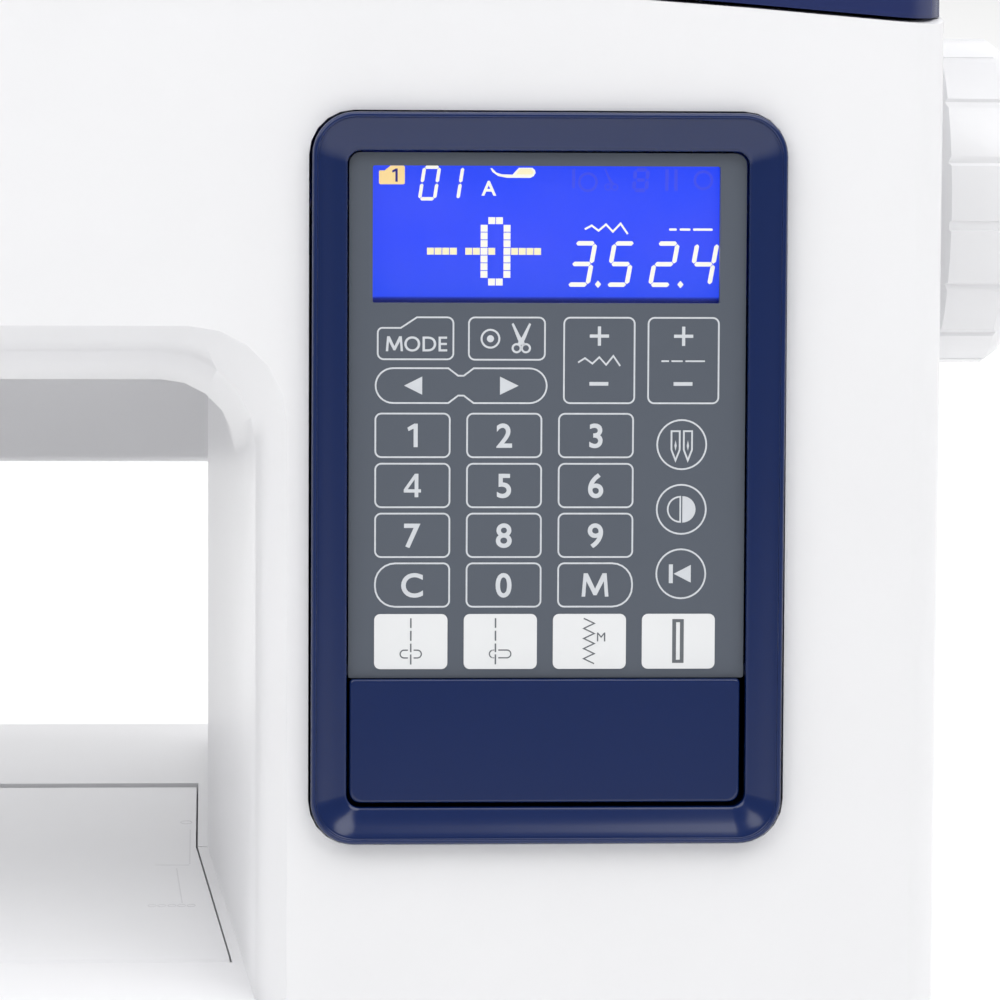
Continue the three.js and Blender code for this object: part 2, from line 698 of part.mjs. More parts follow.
function needle() {
  const profile = [
    [0, NEEDLE_TIP],
    [0.45, NEEDLE_TIP + 3],
    [0.45, NEEDLE_TIP + 24],
    [1, NEEDLE_TIP + 26],
    [1, CLAMP_Z + 9],
    [0, CLAMP_Z + 9],
  ];
  return turned(profile, 12).translate(NEEDLE_X, SHAFT_Y, 0);
}

const FOOT_PIVOT = { y: 0, z: 85 };
const FOOT_RAISED = 5.7; // the foot is shown lifted off the needle plate

function presserBar() {
  const bar = rod("z", 3.5, 104, 205, NEEDLE_X, PRESSER_Y);
  return join(bar, box(NEEDLE_X - 4, NEEDLE_X + 14, PRESSER_Y - 4.4, PRESSER_Y + 4.4, 163, 170));
}

function footHolder() {
  const block = box(NEEDLE_X - 5, NEEDLE_X + 5, -2.4, 9, 88, 112);
  const barHole = rod("z", 3.5 + GAP, 103, 120, NEEDLE_X, PRESSER_Y);
  const fork = box(NEEDLE_X - 5, NEEDLE_X + 5, FOOT_PIVOT.y - 2.4, 4, 82.4, 90);
  const forkSlot = box(NEEDLE_X - 2.2, NEEDLE_X + 2.2, -5, 6, 80, 88);
  const pin = rod("x", 1, NEEDLE_X - 5, NEEDLE_X + 5, FOOT_PIVOT.y, FOOT_PIVOT.z, 12);
  const screw = rod("x", 3, NEEDLE_X - 12, NEEDLE_X - 4.5, PRESSER_Y, 106, 16);
  return join(cut(join(block, fork, screw), barHole, forkSlot), pin);
}

function presserFoot() {
  const sole = slab(roundRect(NEEDLE_X - 10, -27, NEEDLE_X + 10, 9, 2.5, 3), BED_Z + GAP, 80.8);
  const toeSlot = box(NEEDLE_X - 1.4, NEEDLE_X + 1.4, -40, -16, 70, 90);
  const needleSlot = slab(
    roundRect(NEEDLE_X - 4.6, SHAFT_Y - 2.4, NEEDLE_X + 4.6, SHAFT_Y + 2.4, 1.6, 3),
    70,
    90,
  );
  const lug = box(NEEDLE_X - 1.8, NEEDLE_X + 1.8, FOOT_PIVOT.y - 2, 2, 80, FOOT_PIVOT.z + 2);
  const bore = rod("x", 1 + GAP, NEEDLE_X - 4, NEEDLE_X + 4, FOOT_PIVOT.y, FOOT_PIVOT.z, 12);
  return cut(join(sole, lug), toeSlot, needleSlot, bore);
}

const LIFTER = { x: -103, y: 24, z: 151, raised: THREE.MathUtils.degToRad(40) };

function presserLever() {
  const hub = rod("x", 5, -5, 5);
  const hand = alongX(
    [
      [0, -4],
      [44, -22],
      [66, -24],
      [67, -19],
      [44, -14],
      [0, 5],
    ],
    -4,
    4,
  );
  return cut(join(hub, hand), rod("x", 2.3, -8, 8, 0, 0, 16));
}

function buttonholeLever() {
  const strip = box(-136, -130, 6, 8.4, 128, 190);
  return join(strip, box(-137, -129, 4, 10.4, 124, 131));
}

// ---------------------------------------------------------------- drive

const BIG_PULLEY = { y: SHAFT_Y, z: SHAFT_Z, r: 24 };
const MOTOR = { y: 42, z: 74, r: 6 };
const TIMING_R = 12;

function upperShaft() {
  const shaft = rod("x", 5, -92, 216, SHAFT_Y, SHAFT_Z);
  const crank = rod("x", 15, -97, -91, SHAFT_Y, SHAFT_Z, 28);
  const pin = rod("x", 3, -102, -96, SHAFT_Y, SHAFT_Z + 11, 16);
  const timing = rod("x", TIMING_R, 158, 166, SHAFT_Y, SHAFT_Z, 24);
  return join(shaft, crank, pin, timing, rod("x", BIG_PULLEY.r, 178, 184, SHAFT_Y, SHAFT_Z, 32));
}

function lowerShaft() {
  const shaft = rod("x", 4, -122, 170, SHAFT_Y, LOWER_Z);
  const gear = rod("x", 12, -116, -108, SHAFT_Y, LOWER_Z, 24);
  return join(shaft, gear, rod("x", TIMING_R, 158, 166, SHAFT_Y, LOWER_Z, 24));
}

function motorPulley() {
  return join(
    rod("x", MOTOR.r, 176, 186, MOTOR.y, MOTOR.z, 20),
    rod("x", 2.5, 160, 178, MOTOR.y, MOTOR.z, 12),
  );
}

function motor() {
  const can = rod("x", 24, 102, 162, MOTOR.y, MOTOR.z, 32);
  const flange = box(162, 166, MOTOR.y - 26, MOTOR.y + 26, MOTOR.z - 26, MOTOR.z + 26);
  return cut(join(can, flange), rod("x", 2.5 + GAP, 158, 170, MOTOR.y, MOTOR.z, 12));
}

function handwheel() {
  const wheel = turned([
    [0, 0.5],
    [13, 0.5],
    [13, 1.6],
    [28, 1.6],
    [30, 3.5],
    [30, 13],
    [28.2, 15.5],
    [26, 16],
    [24.5, 15],
    [23.5, 13.5],
    [10, 13.5],
    [9, 15],
    [0, 15],
  ], 32);
  const blank = solid(wheel.rotateY(Math.PI / 2));
  const flutes = Array.from({ length: 16 }, (_, i) => {
    const a = (i / 16) * 2 * Math.PI;
    return rod("x", 1.6, -1, 20, 31 * Math.cos(a), 31 * Math.sin(a), 6);
  });
  return cut(blank, ...flutes, rod("x", 5 + GAP, -1, 12));
}

function rotaryHook() {
  const cup = turned([
    [0, 50],
    [17.5, 50],
    [17.5, 66],
    [15.8, 66],
    [15.8, 52],
    [0, 52],
  ]);
  const tip = box(-3, 9, -17.2, -15, 60, 66);
  const gear = rod("z", 6.2, 32, 40, 0, 0, 20);
  const made = join(solid(cup), rod("z", 4, 28, 51), gear);
  return cut(made, cut(box(4, 30, -30, -4, 58, 70), tip));
}

function bobbinCase() {
  return turned([
    [0, 52.4],
    [15.4, 52.4],
    [15.4, 66.4],
    [17.2, 66.4],
    [17.2, 68],
    [11.8, 68],
    [11.8, 54],
    [0, 54],
  ]);
}

function bobbin() {
  return turned([
    [3, 54.6],
    [10.9, 54.6],
    [10.9, 55.7],
    [5, 55.7],
    [5, 64.9],
    [10.9, 64.9],
    [10.9, 66],
    [3, 66],
    [3, 54.6],
  ]);
}

// Cast frame: column, arm beam, bed beam and the blocks that carry shafts and bars.
function machineFrame() {
  const column = box(104, 120, -40, 36, 12, 228);
  const armBeam = box(-125, 110, 8, 40, 196, 228);
  const bedBeam = box(-150, 110, 12, 48, 12, 44);
  const rightWall = box(190, 196, -30, 32, 12, 228);
  const tie = box(104, 196, 24, 32, 196, 228);
  const sill = box(104, 196, -30, 32, 12, 19);
  const shaftBlock = box(-88, -76, -24, 20, 198, 222);
  const headPost = box(-122, -102, 15, 36, 140, 228);
  const upperBush = box(-122, -103, -22, 20, 196, 206);
  const lowerBush = box(-122, -103, -22, 20, 142, 150);
  const lowerBlocks = [-98, 60].map((x) => box(x, x + 12, -24, 20, 24, 44));
  const made = join(
    column,
    armBeam,
    bedBeam,
    rightWall,
    tie,
    sill,
    shaftBlock,
    headPost,
    upperBush,
    lowerBush,
    ...lowerBlocks,
  );
  return cut(
    made,
    rod("x", 5 + GAP, -95, 200, SHAFT_Y, SHAFT_Z),
    rod("x", 4 + GAP, -130, 175, SHAFT_Y, LOWER_Z),
    rod("z", BAR_R + GAP, 138, 230, NEEDLE_X, SHAFT_Y),
    rod("z", 3.5 + GAP, 138, 215, NEEDLE_X, PRESSER_Y),
    box(LIFTER.x - 6.5, LIFTER.x + 6.5, 14, 50, 138, 184),
    rod("x", 27, 98, 168, MOTOR.y, MOTOR.z, 32),
  );
}

// ---------------------------------------------------------------- control panel

// A ring around the panel: raised rim, bevel down to the opening, and a deep skirt.
function panelRing() {
  const rect = (shrink, y) => {
    const [w, h] = [PANEL_W / 2 - shrink, PANEL_H / 2 - shrink];
    return roundRect(-w, -h, w, h, PANEL_R - shrink, 7).map(([x, z]) => [x, y, z]);
  };
  const opening = (y) =>
    roundRect(-OPENING_W / 2, OPENING_BOTTOM, OPENING_W / 2, OPENING_TOP, 2.4, 7).map(
      ([x, z]) => [x, y, z],
    );
  return loft(
    [rect(0, 9), rect(0, -2.2), rect(0.4, -2.9), rect(1.1, -3.1), opening(0.3), opening(9)],
    true,
  );
}

const POCKET_DEPTH = 16;

function panelFrame() {
  const w = OPENING_W / 2;
  const tray = cut(
    box(-w - 2, w + 2, 5, POCKET_DEPTH + 2, OPENING_BOTTOM - 2, FLAP_TOP + 2),
    box(-w, w, 0, POCKET_DEPTH, OPENING_BOTTOM, FLAP_TOP - 1),
    box(-w, w, 0, 7.6, FLAP_TOP - 2, FLAP_TOP + 5),
  );
  const pinHoles = rod("x", 1, -w - 2, w + 2, FLAP_PIVOT.y, FLAP_PIVOT.z, 12);
  return cut(join(panelRing(), tray), pinHoles);
}

function keypad() {
  const w = OPENING_W / 2 - GAP;
  const plate = roundRect(-w, FLAP_TOP + GAP, w, OPENING_TOP - GAP, [2, 2, 0.4, 0.4]);
  return cut(
    alongY(plate, 1.6, 3.4),
    alongY(roundRect(LCD.left, LCD.bottom, LCD.right, LCD.top, 0.3, 2), 0, 5),
  );
}

const FLAP_PIVOT = { y: 1.4, z: -55.6 };

function panelFlap() {
  const outline = roundRect(-34.4, FLAP_BOTTOM, 33.9, FLAP_TOP, [0.4, 0.4, 1.8, 1.8], 5);
  const plate = alongY(outline, 0.2, 2.4);
  const relief = alongX(
    [
      [-1, FLAP_BOTTOM - 1],
      [1.1, FLAP_BOTTOM - 1],
      [-1, FLAP_BOTTOM + 0.9],
    ],
    -40,
    40,
  );
  const pins = rod("x", 0.7, -36, 35.6, FLAP_PIVOT.y, FLAP_PIVOT.z, 12);
  return join(cut(plate, relief), pins);
}

// ---------------------------------------------------------------- right end and top

const POWER = { x0: 188, y0: 36, y1: 90, z0: 20, z1: 60 };
const SWITCH = { y: 76, z: 46 };

function powerBlock() {
  const p = POWER;
  const body = box(p.x0, PILLAR_RIGHT + 1, p.y0, p.y1, p.z0, p.z1);
  const inlet = box(PILLAR_RIGHT - 12, 220, 38, 64, 36, 54);
  const jack = rod("x", 4, PILLAR_RIGHT - 11, 220, 46, 27, 20);
  const window = box(PILLAR_RIGHT - 9, 220, SWITCH.y - 7, SWITCH.y + 7, SWITCH.z - 10, SWITCH.z + 10);
  const prongs = [-5, 5].map((dy) => box(193, 203, 51 + dy - 1.2, 51 + dy + 1.2, 44, 46.4));
  return join(cut(body, inlet, jack, window), ...prongs);
}

function powerSwitch() {
  const rocker = [
    [-2.5, -9],
    [3, -8.6],
    [1.2, 0],
    [3, 8.6],
    [-2.5, 9],
  ];
  const turn = ([x, z]) => [x + PILLAR_RIGHT, z + SWITCH.z];
  return alongY(rocker.map(turn), SWITCH.y - 6.4, SWITCH.y + 6.4);
}

function topDeck() {
  const plate = slab(roundRect(-147, -61.5, 202, 62, 4), 236, 238.4);
  const wheelRelief = box(170, 190, -38, 14, 230, 237);
  const tray = cut(box(-142, -20, -52, 50, 238, 246), box(-140, -22, -50, 48, 238.4, 250));
  return join(cut(plate, wheelRelief), tray);
}

function spoolPin() {
  const pin = rod("x", 2.5, 16, 112, 8, 262, 16);
  const stand = box(110, 116, 2, 14, 238.7, 268);
  return join(pin, stand, box(104, 122, -2, 18, 238.7, 241));
}

function spoolCap() {
  const disc = rod("x", 15, 26, 29, 8, 262, 28);
  return cut(join(disc, rod("x", 6, 20, 27, 8, 262, 20)), rod("x", 2.5 + GAP, 15, 35, 8, 262, 16));
}

function winderSpindle() {
  return turned([
    [0, 238.8],
    [10, 238.8],
    [10, 241.4],
    [3, 241.4],
    [3, 258],
    [2, 260],
    [0, 260],
  ], 20).translate(164, -30, 0);
}

function winderStop() {
  return turned([
    [0, 238.7],
    [7, 238.7],
    [7, 250],
    [6, 251],
    [0, 251],
  ], 20).translate(188, -30, 0);
}

// Carrying handle: a bail on two stub pins, hanging against the leaning back.
function handle() {
  const lean = Math.atan(REAR_SLOPE);
  const { reach } = HANDLE;
  const arms = [-1, 1].flatMap((side) => {
    const near = side * (HANDLE.x + 0.4);
    const far = side * (HANDLE.x + 8);
    const [x0, x1] = [Math.min(near, far), Math.max(near, far)];
    const hub = rod("x", 6.5, x0, x1, 0, 0, 20);
    const arm = box(x0, x1, -4.5, 4.5, -reach, 0);
    const inner = side * (HANDLE.x - 8);
    const pin = rod("x", 3, Math.min(inner, far), Math.max(inner, far), 0, 0, 16);
    return [hub, arm, pin];
  });
  const width = HANDLE.x + 8;
  const grip = alongX(roundRect(-4.5, -reach - 11, 10, -reach + 11, 4, 4), -width, width);
  return geometryOf(join(grip, ...arms)).rotateX(lean);
}

// ---------------------------------------------------------------- assembly

add("front_cover", frontCover(), WHITE);
add("rear_cover", rearCover(), WHITE);
add("face_cover", faceCover(), WHITE);
add("top_lid", topLid(), NAVY);
add("lid_hinge_pin", rod("x", 1.6, -HINGE.half - 6, HINGE.half + 6, HINGE.y, HINGE.z, 14), STEEL);
add("top_deck", topDeck(), WHITE);
add("free_arm_cover", freeArmCover(), WHITE);
add("base_plate", basePlate(), GREY);
add("extension_table", extensionTable(), WHITE);
add("needle_plate", needlePlate(), STEEL);
add("feed_dog", feedDog(), STEEL);
add("hook_cover_plate", hookPlate(), CLEAR);
add("hook_cover_latch", hookPlateLatch(), GREY);

const feet = {
  rear_right: [184, 84],
  front_right: [184, -78],
  rear_left: [-166, 42],
  front_left: [-166, -40],
};
for (const [corner, [x, y]] of Object.entries(feet)) {
  const profile = [[0, 0], [9, 0], [10, 1], [10, FOOT_H - GAP], [0, FOOT_H - GAP]];
  add("rubber_foot_" + corner, turned(profile, 20), RUBBER).position.set(x, y, 0);
}

add("machine_frame", machineFrame(), CAST);
add("upper_shaft", upperShaft(), STEEL);
add("lower_shaft", lowerShaft(), STEEL);
add("timing_belt", beltLoop(
  { y: SHAFT_Y, z: LOWER_Z, r: TIMING_R },
  { y: SHAFT_Y, z: SHAFT_Z, r: TIMING_R },
  1.8, 159, 165,
), BLACK);
add("motor", motor(), BLACK);
add("motor_pulley", motorPulley(), STEEL);
add("motor_belt", beltLoop(MOTOR, BIG_PULLEY, 2.2, 178.5, 183.5), BLACK);
add("handwheel", handwheel(), WHITE).position.set(PILLAR_RIGHT + 1.5, SHAFT_Y, SHAFT_Z);
add("rotary_hook", rotaryHook(), STEEL).position.set(NEEDLE_X, HOOK_Y, 0);
add("bobbin_case", bobbinCase(), BLACK).position.set(NEEDLE_X, HOOK_Y, 0);
add("bobbin", bobbin(), CLEAR).position.set(NEEDLE_X, HOOK_Y, 0);

add("needle_bar", needleBar(), STEEL);
add("needle_clamp", needleClamp(), STEEL);
add("needle_clamp_screw", clampScrew(), STEEL);
add("needle", needle(), STEEL);
add("presser_bar", presserBar(), STEEL).position.z = FOOT_RAISED;
add("presser_foot_holder", footHolder(), STEEL).position.z = FOOT_RAISED;
add("presser_foot", presserFoot(), STEEL).position.z = FOOT_RAISED;
const lifter = add("presser_foot_lever", presserLever(), BLACK);
lifter.position.set(LIFTER.x, LIFTER.y, LIFTER.z);
lifter.rotation.x = LIFTER.raised;
add("buttonhole_lever", buttonholeLever(), WHITE);
add("take_up_lever", takeUpLever(), STEEL).position.set(TAKE_UP.x, TAKE_UP.y, TAKE_UP.z);
add("tension_dial", tensionDial(), NAVY).position.set(DIAL.x, DIAL.y, DIAL.z);
add("lamp_lens", box(LAMP.x0, LAMP.x1, LAMP.y0, LAMP.y1, HEAD_Z - 1, HEAD_Z + 4), CLEAR);

add("button_panel", buttonPanel(), NAVY, headPanel);
BUTTONS.forEach((name, i) => add(name + "_button", pushButton(i), WHITE, headPanel));
add("speed_slider", speedSlider(), WHITE, headPanel);

add("panel_frame", panelFrame(), NAVY, panel);
add("keypad", keypad(), GREY, panel);
add("lcd_window", box(LCD.left - 2, LCD.right + 2, 3.7, 5, LCD.bottom - 2, LCD.top + 1.5), CLEAR, panel);
add("lcd_module", box(-33, 33, 5.3, 12, LCD.bottom - 3, LCD.top + 2), SCREEN, panel);
add("control_board", box(-33, 33, 12.4, 14, -33, 55), BOARD, panel);
add("panel_flap", panelFlap(), NAVY, panel);

add("power_socket_block", powerBlock(), BLACK);
add("power_switch", powerSwitch(), BLACK);
add("spool_pin", spoolPin(), WHITE);
add("spool_cap", spoolCap(), WHITE);
add("bobbin_winder_spindle", winderSpindle(), STEEL);
add("bobbin_winder_stop", winderStop(), WHITE);
add("carrying_handle", handle(), WHITE).position.set(0, HANDLE.y, HANDLE.z);

// The layout is measured from y = 0 through the free arm; the part is centred on its footprint.
machine.position.y = -(frontY(TABLE_Z) + REAR_Y) / 2;
const part = new THREE.Group();
part.add(machine);

export default part;
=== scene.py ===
"""Looks of a domestic computerised sewing machine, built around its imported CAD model.

Sizes named here are in millimetres, and MM turns them into the scene's metres. The control panel and the
button panel lean back with the casing, and what is printed on them is laid out in their own axes:
u across, v up the face, and depth into the machine.
"""

import json
import math

import bmesh
import bpy
from mathutils import Matrix, Vector
from mathutils.geometry import tessellate_polygon

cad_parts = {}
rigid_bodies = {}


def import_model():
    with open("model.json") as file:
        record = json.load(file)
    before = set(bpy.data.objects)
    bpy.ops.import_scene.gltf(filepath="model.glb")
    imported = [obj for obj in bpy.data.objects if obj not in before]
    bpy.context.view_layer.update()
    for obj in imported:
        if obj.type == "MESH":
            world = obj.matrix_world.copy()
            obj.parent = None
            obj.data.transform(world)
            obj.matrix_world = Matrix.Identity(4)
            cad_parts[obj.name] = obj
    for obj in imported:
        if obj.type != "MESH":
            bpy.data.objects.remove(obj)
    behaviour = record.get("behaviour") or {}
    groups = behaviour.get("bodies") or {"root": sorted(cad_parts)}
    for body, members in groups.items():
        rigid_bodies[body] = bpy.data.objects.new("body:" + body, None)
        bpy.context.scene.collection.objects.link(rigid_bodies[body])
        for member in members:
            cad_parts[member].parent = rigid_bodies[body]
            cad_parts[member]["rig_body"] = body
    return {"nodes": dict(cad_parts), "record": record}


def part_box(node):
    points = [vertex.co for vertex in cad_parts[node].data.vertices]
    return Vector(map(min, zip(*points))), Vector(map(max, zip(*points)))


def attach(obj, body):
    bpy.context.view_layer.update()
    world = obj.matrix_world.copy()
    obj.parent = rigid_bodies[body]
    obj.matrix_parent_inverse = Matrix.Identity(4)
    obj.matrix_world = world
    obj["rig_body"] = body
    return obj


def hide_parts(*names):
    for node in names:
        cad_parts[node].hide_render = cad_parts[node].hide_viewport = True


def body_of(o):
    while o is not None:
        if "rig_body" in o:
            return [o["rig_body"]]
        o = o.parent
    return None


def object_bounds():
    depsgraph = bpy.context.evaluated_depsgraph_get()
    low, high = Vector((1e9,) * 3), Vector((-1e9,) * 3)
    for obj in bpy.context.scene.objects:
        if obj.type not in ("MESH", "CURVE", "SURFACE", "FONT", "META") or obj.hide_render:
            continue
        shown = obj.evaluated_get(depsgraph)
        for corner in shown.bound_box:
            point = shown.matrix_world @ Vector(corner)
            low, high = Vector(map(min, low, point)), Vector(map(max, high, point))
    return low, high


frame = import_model()
CAD_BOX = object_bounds()

MM = 0.001
LEAN = math.radians(8)  # the front of the casing leans back by this much
TILT = Matrix.Rotation(-LEAN, 3, "X")


# ---------------------------------------------------------------- places


def middle(node):
    """The middle of a CAD node's box."""
    low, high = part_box(node)
    return (low + high) / 2


def leaning(node, centre):
    """The axes of a leaning panel, from a node on it whose own middle is at centre in those axes."""
    origin = middle(node) - TILT @ (Vector(centre) * MM)
    return Matrix.Translation(origin) @ TILT.to_4x4() @ Matrix.Scale(MM, 4)


PANEL = leaning("control_board", (0, 13.2, 11))
HEAD_PANEL = leaning("button_panel", (0, 0.5, 0))


def flat_on_top(x, y, z):
    """Axes with u along +X, v along +Y and depth going down, with their origin at x, y, z in metres."""
    turn = Matrix(((1, 0, 0), (0, 0, 1), (0, -1, 0)))
    return Matrix.Translation((x, y, z)) @ turn.to_4x4() @ Matrix.Scale(MM, 4)


# ---------------------------------------------------------------- flat outlines


def arc(cu, cv, radius, start, end, steps=8):
    """Points of an arc, its angles in degrees."""
    turns = [math.radians(start + (end - start) * i / steps) for i in range(steps + 1)]
    return [(cu + radius * math.cos(a), cv + radius * math.sin(a)) for a in turns]


def circle(cu, cv, radius, steps=40):
    return arc(cu, cv, radius, 0, 360, steps)[:-1]


def rectangle(left, bottom, right, top):
    return [(right, top), (left, top), (left, bottom), (right, bottom)]


def round_rect(left, bottom, right, top, radius, steps=6):
    """radius is one number, or four: top right, top left, bottom left, bottom right."""
    radii = [radius] * 4 if isinstance(radius, (int, float)) else radius
    corners = [(right, top, -1, -1), (left, top, 1, -1), (left, bottom, 1, 1), (right, bottom, -1, 1)]
    points = []
    for quarter, ((u, v, du, dv), r) in enumerate(zip(corners, radii)):
        points += arc(u + du * r, v + dv * r, r, 90 * quarter, 90 * quarter + 90, steps)
    return points


def moved_line(points, distance, closed):
    """The line moved sideways by distance, with mitred corners."""
    line = [Vector(p) for p in points]
    moved = []
    for i, point in enumerate(line):
        ways = []
        if closed or i > 0:
            ways.append((point - line[i - 1]).normalized())
        if closed or i < len(line) - 1:
            ways.append((line[(i + 1) % len(line)] - point).normalized())
        along = sum(ways, Vector((0, 0))).normalized()
        side = Vector((-along.y, along.x))
        square = Vector((-ways[0].y, ways[0].x))
        moved.append(point + side * distance / max(0.35, side.dot(square)))
    return [tuple(p) for p in moved]


def stroke(points, width, closed=False):
    """A drawn line as loops: an outline with a hole if it is closed, or one outline."""
    left = moved_line(points, width / 2, closed)
    right = moved_line(points, -width / 2, closed)
    return [left, right] if closed else [left + right[::-1]]


def shifted(loops, du, dv, scale=1.0):
    return [[(du + scale * u, dv + scale * v) for u, v in loop] for loop in loops]


# ---------------------------------------------------------------- finishes


SOCKETS = {"metallic": "Metallic", "transmission": "Transmission Weight", "ior": "IOR"}
NOISE_LOW, NOISE_HIGH = 0.3, 0.7  # noise stays mostly between these
FLOW_PATCH, GLOSS_PATCH, SINK_PATCH = 45, 30, 60  # how wide the patches of moulded plastic are


class Finish:
    """A Principled material. Its colour, gloss and surface can vary with noise in object space."""

    def __init__(self, name, color, roughness, **sockets):
        self.material = bpy.data.materials.new(name)
        self.material.use_nodes = True
        self.tree = self.material.node_tree
        self.shader = self.tree.nodes["Principled BSDF"]
        self.color = color
        self.shader.inputs["Base Color"].default_value = (*color, 1)
        self.shader.inputs["Roughness"].default_value = roughness
        for socket, value in sockets.items():
            self.shader.inputs[SOCKETS[socket]].default_value = value
        self.place = self.tree.nodes.new("ShaderNodeTexCoord").outputs["Object"]
        self.bumped = None

    def link(self, start, end):
        self.tree.links.new(start, end)

    def stretched(self, stretch):
        """Object space, stretched along its axes."""
        mapping = self.tree.nodes.new("ShaderNodeMapping")
        mapping.inputs["Scale"].default_value = stretch
        self.link(self.place, mapping.inputs["Vector"])
        return mapping.outputs["Vector"]

    def noise(self, size, detail=2.0, stretch=None):
        """Noise whose patches are about size across, in millimetres."""
        node = self.tree.nodes.new("ShaderNodeTexNoise")
        node.inputs["Scale"].default_value = 1 / (size * MM)
        node.inputs["Detail"].default_value = detail
        self.link(self.stretched(stretch) if stretch else self.place, node.inputs["Vector"])
        return node.outputs["Fac"]

    def between(self, factor, low, high):
        """factor, which is near 0.5, spread over low to high."""
        node = self.tree.nodes.new("ShaderNodeMapRange")
        node.inputs["From Min"].default_value = NOISE_LOW
        node.inputs["From Max"].default_value = NOISE_HIGH
        node.inputs["To Min"].default_value = low
        node.inputs["To Max"].default_value = high
        self.link(factor, node.inputs["Value"])
        return node.outputs["Result"]

    def mottle(self, size, amount, stretch=None):
        """The colour drifts by amount, up and down, over patches of that size."""
        mix = self.tree.nodes.new("ShaderNodeMix")
        mix.data_type = "RGBA"
        darker, lighter = [[min(1, c * (1 + s * amount)) for c in self.color] for s in (-1, 1)]
        mix.inputs["A"].default_value = (*darker, 1)
        mix.inputs["B"].default_value = (*lighter, 1)
        self.link(self.between(self.noise(size, 3, stretch), 0, 1), mix.inputs["Factor"])
        self.link(mix.outputs["Result"], self.shader.inputs["Base Color"])
        return self

    def gloss(self, low, high, size, stretch=None):
        """The roughness drifts between low and high over patches of that size."""
        spread = self.between(self.noise(size, 3, stretch), low, high)
        self.link(spread, self.shader.inputs["Roughness"])
        return self

    def bump(self, height, factor):
        """Adds relief of that height in millimetres, on top of what is there."""
        node = self.tree.nodes.new("ShaderNodeBump")
        node.inputs["Distance"].default_value = height * MM
        self.link(factor, node.inputs["Height"])
        if self.bumped:
            self.link(self.bumped, node.inputs["Normal"])
        self.bumped = node.outputs["Normal"]
        self.link(self.bumped, self.shader.inputs["Normal"])
        return self

    def grain(self, size, height, stretch=None):
        return self.bump(height, self.noise(size, 2, stretch))

    def glow(self, color, strength):
        self.shader.inputs["Emission Color"].default_value = (*color, 1)
        self.shader.inputs["Emission Strength"].default_value = strength
        return self


def moulded(name, color, roughness, grain=0.35, height=0.003, sink=0.02, **sockets):
    """Injection-moulded plastic: fine spark grain, faint flow marks and slow sink marks."""
    finish = Finish(name, color, roughness, **sockets)
    finish.mottle(FLOW_PATCH, 0.012)
    finish.gloss(roughness * 0.95, roughness * 1.05, GLOSS_PATCH)
    finish.grain(grain, height)
    return finish.grain(SINK_PATCH, sink)


def metal(name, color, low, high, streak, **sockets):
    """Machined metal: its gloss and scratches run along the streaks."""
    finish = Finish(name, color, (low + high) / 2, metallic=1.0, **sockets)
    finish.mottle(6, 0.05, streak)
    finish.gloss(low, high, 1.5, streak)
    return finish.grain(0.5, 0.004, streak)


def panel_height(finish):
    """Height up the control panel's face in metres, at each point of a surface."""
    origin = PANEL.to_translation()
    away = finish.tree.nodes.new("ShaderNodeVectorMath")
    away.operation = "SUBTRACT"
    finish.link(finish.place, away.inputs[0])
    away.inputs[1].default_value = origin
    along = finish.tree.nodes.new("ShaderNodeVectorMath")
    along.operation = "DOT_PRODUCT"
    finish.link(away.outputs["Vector"], along.inputs[0])
    along.inputs[1].default_value = TILT @ Vector((0, 0, 1))
    return along.outputs["Value"]


GLOW_BOTTOM, GLOW_TOP = 30.0, 55.0  # the heights up the panel that the backlight's colours span
BACKLIGHT = [  # share of that height, and the colour there
    (0.035, (0.0005, 0.003, 0.07)),
    (0.052, (0.001, 0.012, 0.24)),
    (0.066, (0.018, 0.070, 0.85)),
    (0.45, (0.022, 0.064, 0.90)),
    (1.0, (0.014, 0.060, 0.92)),
]
COOL_TINT, WARM_TINT = (0.6, 0.85, 1, 1), (1.45, 1.0, 0.97, 1)
TINT_PATCH = 16


def backlight_by_height(finish):
    """The backlight's colour, which is dark along its lower edge."""
    ramp = finish.tree.nodes.new("ShaderNodeValToRGB")
    spread = finish.tree.nodes.new("ShaderNodeMapRange")
    spread.inputs["From Min"].default_value = GLOW_BOTTOM * MM
    spread.inputs["From Max"].default_value = GLOW_TOP * MM
    finish.link(panel_height(finish), spread.inputs["Value"])
    finish.link(spread.outputs["Result"], ramp.inputs["Fac"])
    while len(ramp.color_ramp.elements) < len(BACKLIGHT):
        ramp.color_ramp.elements.new(0.5)
    for element, (position, color) in zip(ramp.color_ramp.elements, BACKLIGHT):
        element.position = position
        element.color = (*color, 1)
    return ramp.outputs["Color"]


def backlight_tint(finish):
    """A slow drift between a cooler and a warmer blue."""
    tint = finish.tree.nodes.new("ShaderNodeMix")
    tint.data_type = "RGBA"
    tint.inputs["A"].default_value = COOL_TINT
    tint.inputs["B"].default_value = WARM_TINT
    finish.link(finish.between(finish.noise(TINT_PATCH, 1), 0, 1), tint.inputs["Factor"])
    return tint.outputs["Result"]


def backlit_display():
    """A blue backlight, even over most of the glass and dark along its lower edge."""
    finish = Finish("lcd_blue", (0.01, 0.02, 0.15), 0.4)
    mix = finish.tree.nodes.new("ShaderNodeMix")
    mix.data_type = "RGBA"
    mix.blend_type = "MULTIPLY"
    mix.inputs["Factor"].default_value = 1
    finish.link(backlight_by_height(finish), mix.inputs["A"])
    finish.link(backlight_tint(finish), mix.inputs["B"])
    finish.link(mix.outputs["Result"], finish.shader.inputs["Emission Color"])
    finish.shader.inputs["Emission Strength"].default_value = 1.0
    return finish


